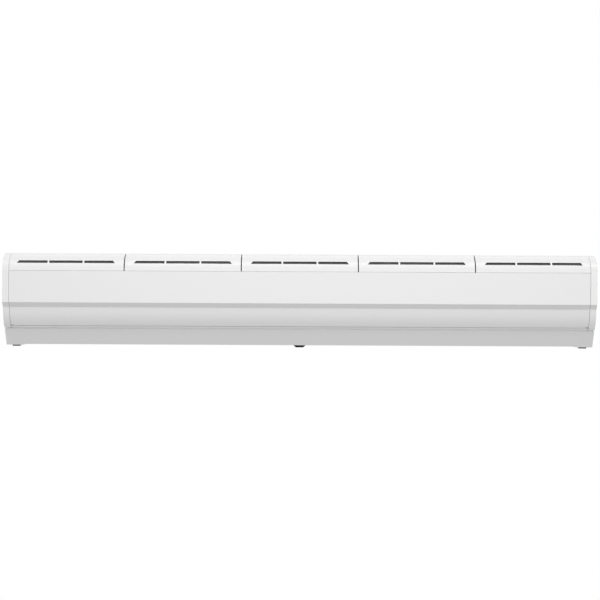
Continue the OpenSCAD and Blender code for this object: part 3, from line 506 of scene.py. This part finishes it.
def paint_slot_shade(paint):
    """Paints shade in dark grey on the upper walls of the slots and on the inside of the shell."""
    tree = paint.node_tree
    base = tree.nodes["Principled BSDF"].inputs["Base Color"]
    where = tree.nodes.new("ShaderNodeTexCoord")
    facing, spot = (tree.nodes.new("ShaderNodeSeparateXYZ") for _ in range(2))
    wire(tree, where.outputs["Normal"], facing.inputs[0])
    wire(tree, where.outputs["Object"], spot.inputs[0])
    # painted shade: faces that look down, high on the unit, are made dark grey
    down = math_node(tree, "LESS_THAN", facing.outputs["Z"], LOOKS_DOWN)
    high_up = math_node(tree, "GREATER_THAN", spot.outputs["Z"], SLOT_FLOOR)
    shaded_walls = math_node(tree, "MULTIPLY", down, high_up)
    wire(tree, mix_colours(tree, shaded_walls, base.links[0].from_socket, SLOT_SHADE_GREY), base)


paint_slot_shade(finishes["white_moulding"])
print("bare over", SLOT_FLOOR, "m in", finishes["white_moulding"].name)

# %% [markdown]
# ### Other plastics, rubber and wire
# The pivot blocks, the vane link and the thermal cut-out are black plastic. The terminal block, the
# capacitor and the wiring trunk are pale plastic. The motor's rings, the couplings, the bearing
# holders and the cable grommet are rubber, and the guard over the outlet is coated wire. They need
# no new nodes: they differ only in colour, roughness and the size of their grain, so a table does.

# %% Plastics, rubber and coated wire
MOULDINGS = {
    "black_plastic": dict(colour=(0.035, 0.035, 0.037), roughness=0.45, grain=1300.0, grit=0.6,
                          depth=0.04, dusty=0.10),
    "rubber": dict(colour=(0.022, 0.022, 0.023), roughness=0.72, grain=800.0, grit=0.8,
                   depth=0.05, dusty=0.15),
    "pale_plastic": dict(colour=(0.70, 0.69, 0.65), roughness=0.48, grain=1200.0, grit=0.5,
                         depth=0.03, dusty=0.12)}
for name, look in MOULDINGS.items():
    finishes[name] = moulded(name, **look)
finishes["black_wire"] = powder_paint("black_wire", (0.055, 0.056, 0.06), peel=1.6)
print("moulded:", ", ".join(MOULDINGS), "and one coated wire")

# %% [markdown]
# **The window** of the remote control is polished black plastic that only infrared light passes.
# Clear glass would show an empty hole behind it, so it is an opaque black with a low specular level
# and a slow ripple, which keeps the reflection of the white studio from turning it grey.

# %% Dark window
def polished_window(name):
    """Smooth black plastic with a slow ripple."""
    paint, tree, shader = blank(name, Specular_IOR_Level=0.12)
    coat_of(tree, shader, (0.005, 0.005, 0.005), shade=0.2, roughness=0.16, spread=0.06, dusty=0.02)
    ripple = place(tree, skin, Scale=60.0, Grit=0.05)
    relief(tree, shader, ripple.outputs["Height"], depth=0.04)
    return paint


finishes["dark_window"] = polished_window("dark_window")
print(len(finishes), "finishes so far")

# %% [markdown]
# ### Filter net
# Each dust filter is a woven net in a frame. The net is far too fine to model thread by thread, so
# the weave is two sets of waves at right angles: they lighten the threads and give them relief. The
# holes between them are not open but painted near-black, as painted shade for the dark inside that
# would show through. On the flat top the threads are evenly spaced, and where the net curves down
# to the front the cross threads lie further apart. Of all the pieces the filters catch the most
# dust.

# %% Filter net
THREAD_SCALE = 620.0             # threads half a millimetre apart on the flat top
THREAD_WANDER = 0.3              # how far a thread strays from its line
# painted shade: the near-black of the holes stands for the dark inside behind the net
NET_HOLE_SHADE = (0.035, 0.035, 0.036, 1.0)
NET_THREAD = (0.27, 0.271, 0.275, 1.0)


def woven_net(name):
    """A net of crossing threads with painted shade for the holes between them."""
    paint, tree, shader = blank(name)
    where = tree.nodes.new("ShaderNodeTexCoord")
    threads = []
    for direction in ("X", "Y"):
        wave = add(tree, "ShaderNodeTexWave", Scale=THREAD_SCALE, Distortion=THREAD_WANDER)
        wave.bands_direction = direction
        wire(tree, where.outputs["Object"], wave.inputs["Vector"])
        threads.append(wave.outputs["Fac"])
    weave = math_node(tree, "MAXIMUM", *threads)
    colour = mix_colours(tree, weave, NET_HOLE_SHADE, NET_THREAD)
    dusted(tree, shader, colour, roughness=0.6, amount=0.35)
    relief(tree, shader, weave, depth=0.3)
    return paint


finishes["filter_mesh"] = woven_net("filter_mesh")
print("filter net:", len(finishes["filter_mesh"].node_tree.nodes), "nodes")

# %% [markdown]
# ### Galvanised and plated steel
# The back plate, the side plates and the air guides are galvanised: the zinc freezes into flat
# crystals a few millimetres wide, each a slightly different grey. Voronoi cells with a random shade
# per cell give that pattern, where noise would only give clouds. The wall brackets are plated
# instead, so their crystals are smaller and fainter.

# %% Galvanised steel
ROUGHEST_CRYSTAL = 0.14          # how much rougher the dullest crystal is than the shiniest


def galvanised(name, colour, crystal_scale, contrast):
    """Zinc crystals; contrast is how far their greys lie apart."""
    paint, tree, shader = blank(name, Metallic=0.85)
    where = tree.nodes.new("ShaderNodeTexCoord")
    crystals = add(tree, "ShaderNodeTexVoronoi", Scale=crystal_scale, Randomness=1.0)
    wire(tree, where.outputs["Object"], crystals.inputs["Vector"])
    chance = tree.nodes.new("ShaderNodeSeparateColor")
    wire(tree, crystals.outputs["Color"], chance.inputs[0])
    shade, dullness = chance.outputs[0], chance.outputs[1]
    roughness = plus_share(tree, 0.34, dullness, ROUGHEST_CRYSTAL)
    dusted(tree, shader, tinted(tree, colour, shade, contrast), roughness, amount=0.12)
    zinc_skin = place(tree, skin, Scale=500.0, Grit=0.2)
    relief(tree, shader, zinc_skin.outputs["Height"], depth=0.03)
    return paint


finishes["galvanised_steel"] = galvanised(
    "galvanised_steel", (0.50, 0.505, 0.51), crystal_scale=230.0, contrast=0.16)
finishes["bracket_steel"] = galvanised(
    "bracket_steel", (0.58, 0.585, 0.59), crystal_scale=520.0, contrast=0.07)
print(len(finishes), "finishes so far")

# %% [markdown]
# ### Drawn and turned metal
# The impellers and the vanes come from rolled and extruded aluminium, the shaft and the screws are
# steel, the bushes are sintered bronze and the motor's case has a thin coat. What they share is
# lines from the tool that shaped them. All use the drawn lines, each at its own density, and the
# lines also make the metal rougher and smoother in turn, which is what spreads a highlight.

# %% Drawn metals
LINE_ROUGHNESS = 0.16            # how far the roughness swings between the lines
LINE_DEPTH = 0.02                # mm
DRAWN_METALS = {
    "aluminium": dict(colour=(0.66, 0.67, 0.68), roughness=0.34, density=1.0),
    "vane_coat": dict(colour=(0.74, 0.745, 0.75), roughness=0.42, density=0.6,
                      metallic=0.25, contrast=0.05),
    "shaft_steel": dict(colour=(0.56, 0.56, 0.57), roughness=0.22, density=2.2),
    "screw_steel": dict(colour=(0.62, 0.62, 0.63), roughness=0.28, density=1.6),
    "bronze": dict(colour=(0.50, 0.35, 0.18), roughness=0.38, density=1.4),
    "motor_metal": dict(colour=(0.40, 0.41, 0.42), roughness=0.45, density=0.8, metallic=0.7)}


def drawn_metal(name, colour, roughness, density, metallic=1.0, contrast=0.10):
    """Metal with lines along the unit; a lower metallic value stands for a coat over it."""
    paint, tree, shader = blank(name, Metallic=metallic)
    lines = place(tree, drawn, Density=density)
    line = lines.outputs["Line"]
    varied = plus_share(tree, roughness - LINE_ROUGHNESS / 2, line, LINE_ROUGHNESS)
    dusted(tree, shader, tinted(tree, colour, line, contrast), varied, amount=0.08)
    relief(tree, shader, lines.outputs["Height"], LINE_DEPTH)
    return paint


for name, look in DRAWN_METALS.items():
    finishes[name] = drawn_metal(name, **look)
print("drawn metals:", ", ".join(DRAWN_METALS))

# %% [markdown]
# **Heated steel.** The heating tubes and their fins have been hot: the steel has gone a dull
# brown-grey, in bands along the tube where it ran hotter or cooler. A colour ramp over a noise that
# changes mostly along the tube gives soft bands, and the ramp's two ends are the two colours.

# %% Heated steel
ACROSS_THE_TUBE = (1, 0.1, 0.1)  # a small scale in y and z leaves most of the change in x
BANDS = [                        # value of the noise, colour of the steel there
    (0.35, (0.16, 0.15, 0.15, 1.0)), (0.65, (0.26, 0.21, 0.17, 1.0))]


def heated_steel(name):
    """Steel that heat has tinted in bands."""
    paint, tree, shader = blank(name, Metallic=0.9)
    bands = object_noise(tree, scale=22.0, detail=3.0, stretch=ACROSS_THE_TUBE)
    ramp = tree.nodes.new("ShaderNodeValToRGB")
    for stop, (position, colour) in zip(ramp.color_ramp.elements, BANDS):
        stop.position = position
        stop.color = colour
    wire(tree, bands, ramp.inputs[0])
    wire(tree, ramp.outputs[0], shader.inputs["Base Color"])
    wire(tree, plus_share(tree, 0.35, bands, 0.2), shader.inputs["Roughness"])
    lines = place(tree, drawn, Density=1.2)
    relief(tree, shader, lines.outputs["Height"], LINE_DEPTH)
    return paint


finishes["heater_steel"] = heated_steel("heater_steel")
print("heated steel:", len(BANDS), "colours in bands")

# %% [markdown]
# **The control board** stands upright in the left end bay, out of sight behind the end cap. It is
# green lacquer, and the joints of a brick pattern give paler lines and a relief. A brick pattern
# changes only in its own plane, and as it is turned here that plane stands across the board. Each
# large face lies wholly inside a joint and shows one even green. The lines show only on the sides
# of the parts that stand on the board. To draw tracks on the large faces, the pattern's plane would
# have to be the board's own.

# %% Circuit board
LACQUER = dict(Color1=(0.020, 0.13, 0.055, 1), Color2=(0.018, 0.11, 0.05, 1))
JOINT = (0.045, 0.22, 0.10, 1)
ACROSS_THE_BOARD = (math.radians(90), 0, math.radians(90))


def circuit_board(name):
    """Green lacquer with the paler joints of a brick pattern."""
    paint, tree, shader = blank(name, Coat_Weight=0.5, Coat_Roughness=0.15)
    where = tree.nodes.new("ShaderNodeTexCoord")
    turned = add(tree, "ShaderNodeMapping", Rotation=ACROSS_THE_BOARD)
    bricks = add(tree, "ShaderNodeTexBrick", Scale=42.0, Mortar_Size=0.06, Mortar=JOINT, **LACQUER)
    wire(tree, where.outputs["Object"], turned.inputs[0])
    wire(tree, turned.outputs[0], bricks.inputs["Vector"])
    wire(tree, bricks.outputs["Color"], shader.inputs["Base Color"])
    wire(tree, plus_share(tree, 0.3, bricks.outputs["Fac"], 0.15), shader.inputs["Roughness"])
    relief(tree, shader, bricks.outputs["Fac"], depth=0.05)
    return paint


finishes["circuit_board"] = circuit_board("circuit_board")
print(len(finishes), "finishes in all")

# %% [markdown]
# ## Dressing the measured pieces
# Every measured piece names its finish in the record, so one loop dresses them all. A list of
# pieces and finishes typed here would work as well, until a piece was renamed or added.

# %% Give every node its finish
finish_of = {row["node"]: row["material_slot"] for row in frame["record"]["subparts"]}
for name, node in parts.items():
    node.data.materials.clear()
    node.data.materials.append(finishes[finish_of[name]])
print("dressed", len(parts), "nodes")

# %% [markdown]
# ## Soft edges
# A folded sheet or a moulding never has a knife edge. The measured meshes stay as they are, and
# modifiers do the rounding on top: Weld joins their loose corners, a planar Decimate melts the
# triangles of each flat face into one face, and Bevel then rounds only the sharp edges. Without the
# first two steps Bevel would also cut along the triangles inside the flat faces. Weighted Normal
# last keeps the flat faces looking flat beside their rounded edges.

# %% Round the sharp edges
JOIN_WITHIN = 0.01               # mm, corners this close to each other become one
FLAT_WITHIN = math.radians(0.5)  # triangles this level with each other become one face
SHARP_FROM = math.radians(35)    # edges that turn by more than this are rounded
ROUNDING_STEPS = 3
FLAT_FACE_WEIGHT = 80            # how much the large faces lead the shading
EDGE_WIDTHS = [                  # pieces, and the width of their rounded edges in mm
    (["end_cap_left", "end_cap_right"], 1.1),
    ([name for name in parts if name.startswith("intake_grille")], 0.2),
    (["front_cover", "lower_fascia", "fascia_rail", "bottom_casing",
      "bottom_end_cover_left", "bottom_end_cover_right"], 0.3),
    (["wall_bracket_left", "wall_bracket_right"], 0.4)]


def soften_edges(piece, width):
    """Rounds a piece's sharp edges by modifiers; width is in millimetres."""
    weld = piece.modifiers.new("weld", "WELD")
    weld.merge_threshold = JOIN_WITHIN * MM
    flat = piece.modifiers.new("flat", "DECIMATE")
    flat.decimate_type = "DISSOLVE"
    flat.angle_limit = FLAT_WITHIN
    edge = piece.modifiers.new("edge", "BEVEL")
    edge.width = width * MM
    edge.segments = ROUNDING_STEPS
    edge.limit_method = "ANGLE"
    edge.angle_limit = SHARP_FROM
    shading = piece.modifiers.new("shading", "WEIGHTED_NORMAL")
    shading.weight = FLAT_FACE_WEIGHT


for names, width in EDGE_WIDTHS:
    for name in names:
        soften_edges(parts[name], width)
print("softened", sum(1 for node in parts.values() if node.modifiers), "nodes")

# %% [markdown]
# ## Fine pieces
# A few small forms are left for mesh code, because they repeat by a rule or are too fine to be
# worth measuring: the spiral fins of the heating tubes, the cooling ribs of the motor, the pressed
# beads and weld marks of the back plate, and the remote control's window with its recessed lens.
# They are all made the same way, as **lofts**: rings of points with faces between them and a face
# over each end, which always gives a closed mesh. The pads of the pivot blocks come last and are
# cut from copies of the measured blocks instead.

# %% Helpers for fine pieces
def loft(rings):
    """Points and faces of a closed skin through rings that all have the same number of points."""
    count = len(rings[0])
    points = [point for ring in rings for point in ring]
    faces = [tuple(reversed(range(count))), tuple(range(len(points) - count, len(points)))]
    for row in range(len(rings) - 1):
        for k in range(count):
            here, after = row * count + k, row * count + (k + 1) % count
            faces.append((here, after, after + count, here + count))
    return points, faces


def joined(shapes):
    """Several sets of points and faces as one set."""
    points, faces = [], []
    for more_points, more_faces in shapes:
        start = len(points)
        points += more_points
        faces += [tuple(start + k for k in face) for face in more_faces]
    return points, faces


def fine_piece(name, shapes, finish, sharp=40):
    """One closed mesh on the casing, in millimetres, with its edges kept sharp above an angle."""
    points, faces = joined(shapes)
    mesh = bpy.data.meshes.new(name)
    mesh.from_pydata([Vector(point) * MM for point in points], [], faces)
    outward = bmesh.new()
    outward.from_mesh(mesh)
    bmesh.ops.recalc_face_normals(outward, faces=outward.faces)
    outward.to_mesh(mesh)
    outward.free()
    mesh.shade_smooth()
    mesh.set_sharp_from_angle(angle=math.radians(sharp))
    mesh.materials.append(finishes[finish])
    made = bpy.data.objects.new(name, mesh)
    bpy.context.scene.collection.objects.link(made)
    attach(made, "casing")
    print(name, len(mesh.vertices), "points", len(mesh.polygons), "faces")
    return made


def full_turn(count):
    """Angles of equal steps round a full circle."""
    return [2 * math.pi * k / count for k in range(count)]


print("a turn in quarters:", [round(turn, 2) for turn in full_turn(4)])

# %% [markdown]
# **Spiral fins.** A heating tube in moving air carries a steel strip wound round it on edge, which
# gives it several times the surface. A screw modifier could wind it, but it leaves open ends. Each
# fin here is one loft whose ring is the strip's small section, turned a little further round the
# tube at each step. The fins stop short of the supports.

# %% Spiral fins on the heating tubes
FIN_ROOT, FIN_TIP = 3.9, 7.2     # mm from the tube's axis
FIN_PITCH = 6.0                  # mm from turn to turn
FIN_STEPS = 14                   # steps a turn
FIN_SECTION = [(-0.40, FIN_ROOT), (-0.22, FIN_TIP), (0.22, FIN_TIP), (0.40, FIN_ROOT)]
RIGHT_RUNS = [(124, 383), (388.5, 690)]      # mm from x to x, either side of a support
LEFT_RUNS = [(-end, -start) for start, end in RIGHT_RUNS]
TUBE_COUNT = 4                   # straight runs of tube, side by side from front to back

tubes_low, tubes_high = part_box("heating_tubes_right")
tube_z = (tubes_low.z + tubes_high.z) / 2 / MM
tube_r = (tubes_high.z - tubes_low.z) / 2 / MM
first_y, last_y = tubes_low.y / MM + tube_r, tubes_high.y / MM - tube_r
tubes_y = [first_y + (last_y - first_y) * k / (TUBE_COUNT - 1) for k in range(TUBE_COUNT)]


def spiral_fin(start, end, y):
    """One strip wound round the tube at y, from start to end."""
    rings = []
    for step in range(int((end - start) / FIN_PITCH * FIN_STEPS) + 1):
        turn = 2 * math.pi * step / FIN_STEPS
        along = start + FIN_PITCH * step / FIN_STEPS
        rings.append([(along + dx, y + r * math.cos(turn), tube_z + r * math.sin(turn))
                      for dx, r in FIN_SECTION])
    return loft(rings)


for side, runs in (("right", RIGHT_RUNS), ("left", LEFT_RUNS)):
    fins = [spiral_fin(start, end, y) for start, end in runs for y in tubes_y]
    fine_piece(f"heating_fins_{side}", fins, "heater_steel")

# %% [markdown]
# **Motor ribs.** The motor sits in the air stream between the two fans, and low ribs along its cast
# case carry its heat off. One rib is a loft along the motor whose crest runs down to the case at
# both ends, and a ring of them goes round it. An array modifier could repeat the rib, but turning
# the loft's own points keeps all the ribs in one plain mesh.

# %% Cooling ribs on the motor
RIB_COUNT = 28
RIB_RISE = 2.5                   # mm proud of the case
RIB_SUNK = 0.6                   # mm that its foot goes into the case
RIB_FOOT, RIB_CREST = 1.2, 0.7   # mm, half its width at the foot and at the crest
RIB_STATIONS = [(-35, 0.1), (-34, 0.6), (-32, 1.0),
                (32, 1.0), (34, 0.6), (35, 0.1)]     # mm along the motor, share of the rise

motor_low, motor_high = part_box("motor_case")
motor_y = (motor_low.y + motor_high.y) / 2 / MM
motor_z = (motor_low.z + motor_high.z) / 2 / MM
motor_r = (motor_high.z - motor_low.z) / 2 / MM


def motor_rib(turn):
    """One rib along the motor, at an angle round it."""
    rings = []
    for along, share in RIB_STATIONS:
        section = ((-RIB_FOOT, -RIB_SUNK), (-RIB_CREST, RIB_RISE * share),
                   (RIB_CREST, RIB_RISE * share), (RIB_FOOT, -RIB_SUNK))
        rings.append([(along,
                       motor_y + (motor_r + out) * math.cos(turn) - half * math.sin(turn),
                       motor_z + (motor_r + out) * math.sin(turn) + half * math.cos(turn))
                      for half, out in section])
    return loft(rings)


fine_piece("motor_ribs", [motor_rib(turn) for turn in full_turn(RIB_COUNT)], "motor_metal")

# %% [markdown]
# **Beads.** A flat sheet a metre and a half long would drum, so the back plate is stiffened by long
# shallow beads pressed into it. They only show from behind, before the unit goes on its wall. Each
# could be a stretched ball sunk in the sheet, but its back would not be level. So it is a loft
# along x whose ring is a flat foot in the sheet with a round back over it, and whose rings swell
# and shrink at the ends like half a circle, so that the bead runs out softly.

# %% Pressed beads on the back plate
BACK_Y = -8.0                    # mm, the back plate's rear face
BEAD_HALF = 4.5                  # mm, half its width
BEAD_RISE = 1.6                  # mm
BEAD_SUNK = 0.4                  # mm that the loft goes into the sheet
BEAD_TIP = 0.02                  # share of the section that is left at the very ends
ARC = 10                         # steps over the bead's round back, and round each end
BEAD_HEIGHTS = (78, -92)         # mm
BEAD_PAIRS = [((-440, -80), (80, 440)), ((-668, -562), (562, 690))]      # mm from x to x


def bead(start, end, z):
    """One bead from start to end, at height z."""
    rings = []
    foot = BACK_Y - BEAD_SUNK
    for k in range(2 * ARC + 1):
        lean = math.pi * (k / (2 * ARC) - 0.5)
        swell = max(math.cos(lean), BEAD_TIP)
        half = BEAD_HALF * swell
        middle = start + BEAD_HALF if k < ARC else end - BEAD_HALF
        along = middle + BEAD_HALF * math.sin(lean)
        ring = [(along, foot, z + half), (along, foot, z - half)]
        for step in range(1, ARC):
            turn = math.pi * step / ARC
            ring.append((along, BACK_Y + BEAD_RISE * swell * math.sin(turn),
                         z - half * math.cos(turn)))
        rings.append(ring)
    return loft(rings)


beads = [bead(start, end, z) for pair in BEAD_PAIRS for z in BEAD_HEIGHTS for start, end in pair]
fine_piece("back_plate_beads", beads, "galvanised_steel")

# %% [markdown]
# **Weld marks.** The air guides inside are fixed to the back plate by spot welds, and each leaves a
# small round mark with a raised rim. A bump in the paint would show it as well, until it is seen
# from the side. A mark is a loft again: its rings are circles that follow the mark's profile from
# the middle outwards, and the last one sinks into the sheet.

# %% Weld marks on the back plate
WELD_SIDES = 16
WELD_PROFILE = [                 # mm: radius, how far it stands proud
    (0.6, 0.08), (1.9, 0.05), (2.3, 0.28), (2.7, 0.24), (3.1, -0.3)]
WELD_X = (-640, -400, -260, -120, 120, 260, 400, 640)    # mm
WELD_Z = (52, -70)               # mm


def weld_mark(x, z):
    """One round mark at x and z."""
    return loft([[(x + r * math.cos(turn), BACK_Y + out, z + r * math.sin(turn))
                  for turn in full_turn(WELD_SIDES)] for r, out in WELD_PROFILE])


fine_piece("weld_marks", [weld_mark(x, z) for x in WELD_X for z in WELD_Z], "galvanised_steel")

# %% [markdown]
# **Receiver window.** The remote control's window hangs under the middle of the front edge: a small
# black block with leaning ends. Its lens is let into the underside behind a narrow rim. The ring
# here is a rectangle with rounded corners, and the stack of rings goes from the lens down round the
# rim, up the leaning ends and through the slot in the sheet. A bevelled block would be quicker, but
# it could have neither the rim nor the narrower neck in the slot.

# %% Receiver window
WINDOW_FOOT = -133.5             # mm, the window's lowest face
SHEET_UNDER, SHEET_OVER = -128.0, -126.5     # mm, the two faces of the sheet round it
CORNER_STEPS = 4
WINDOW_LEVELS = [                # mm: height, half width, inset at front and back, corner radius
    (WINDOW_FOOT + 0.45, 6.6, 2.6, 1.0),         # the lens
    (WINDOW_FOOT + 0.30, 7.4, 1.8, 1.2),
    (WINDOW_FOOT + 0.05, 7.6, 1.6, 1.2),
    (WINDOW_FOOT, 7.8, 1.4, 1.2),                # the rim round it
    (WINDOW_FOOT, 9.6, 0.4, 1.2),
    (WINDOW_FOOT + 0.1, 9.9, 0.15, 1.3),
    (WINDOW_FOOT + 0.35, 10.2, 0.0, 1.4),        # up the leaning ends
    (SHEET_UNDER - 0.3, 15.4, 0.0, 1.4),
    (SHEET_UNDER, 15.8, 0.0, 1.4),
    (SHEET_UNDER, 10.5, 1.5, 0.4),               # the neck in the sheet's slot
    (SHEET_OVER, 10.5, 1.5, 0.4),
    (SHEET_OVER, 14.5, 0.6, 0.8),                # the head inside the casing
    (SHEET_OVER + 4.6, 14.5, 0.6, 0.8),
    (SHEET_OVER + 5.0, 14.1, 1.0, 0.6)]

window_low, window_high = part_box("receiver_window")
window_front, window_back = window_low.y / MM, window_high.y / MM


def window_ring(z, half, inset, radius):
    """A rectangle with rounded corners at height z."""
    ring = []
    near, far = window_front + inset, window_back - inset
    for quarter, (x, y) in enumerate([(half, far), (-half, far), (-half, near), (half, near)]):
        centre_x = x - math.copysign(radius, x)
        centre_y = far - radius if y == far else near + radius
        for step in range(CORNER_STEPS + 1):
            turn = math.pi / 2 * (quarter + step / CORNER_STEPS)
            ring.append((centre_x + radius * math.cos(turn), centre_y + radius * math.sin(turn), z))
    return ring


stack = loft([window_ring(*level) for level in WINDOW_LEVELS])
window = fine_piece("receiver_lens", [stack], "dark_window", sharp=30)
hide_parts("receiver_window")

# %% [markdown]
# **Pivot blocks.** The black blocks that carry the vanes' pins come through the underside at both
# ends. Only a pad along their front edge stands proud of the sheet, and it shows as a short dark
# line under each end of the unit. The blocks are copies of the measured ones, because their bores
# have to stay where the pins are: two cuts across the foot free its rear part, which is then pushed
# up until it is flush with the end cover.

# %% Pivot blocks with a pad at the front edge
PAD_DEPTH = 13.0                 # mm from front to back
PAD_SLOPE = 0.8                  # mm, how far the pad's rear face leans
FLUSH = -129.9                   # mm, height of the rest of the foot, just inside the end cover
ON_THE_CUT = 0.001               # mm, points this near a cut count as on it
BLOCK_EDGE = 0.4                 # mm, width of the rounded edges


def padded_block(name, node_name):
    """A copy of a measured block with only the front of its foot left standing proud."""
    mesh = parts[node_name].data.copy()
    mesh.name = name
    edit = bmesh.new()
    edit.from_mesh(mesh)
    bmesh.ops.remove_doubles(edit, verts=edit.verts, dist=JOIN_WITHIN * MM)
    pad_end = min(v.co.y for v in edit.verts) + PAD_DEPTH * MM
    for cut in (pad_end, pad_end + PAD_SLOPE * MM):
        everything = edit.verts[:] + edit.edges[:] + edit.faces[:]
        bmesh.ops.bisect_plane(edit, geom=everything, dist=ON_THE_CUT * MM,
                               plane_co=(0, cut, 0), plane_no=(0, 1, 0))
    behind = pad_end + PAD_SLOPE / 2 * MM
    raised = [v for v in edit.verts if v.co.z < FLUSH * MM and v.co.y > behind]
    for v in raised:
        v.co.z = FLUSH * MM
    edit.to_mesh(mesh)
    open_edges = sum(1 for edge in edit.edges if len(edge.link_faces) != 2)
    print(name, "raised", len(raised), "points, open edges:", open_edges)
    edit.free()
    made = bpy.data.objects.new(name, mesh)
    bpy.context.scene.collection.objects.link(made)
    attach(made, "casing")
    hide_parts(node_name)
    soften_edges(made, BLOCK_EDGE)


padded_block("pivot_block_left", "vane_pivot_block_left")
padded_block("pivot_block_right", "vane_pivot_block_right")

# %% [markdown]
# ## Closing
# The dressed part has to keep the size of the measured one. The box of the measured pieces, taken
# before they were dressed, is printed last.

# %% Print the measured box and close
print("CAD box:  ", [round(v, 4) for v in (*low, *high)])
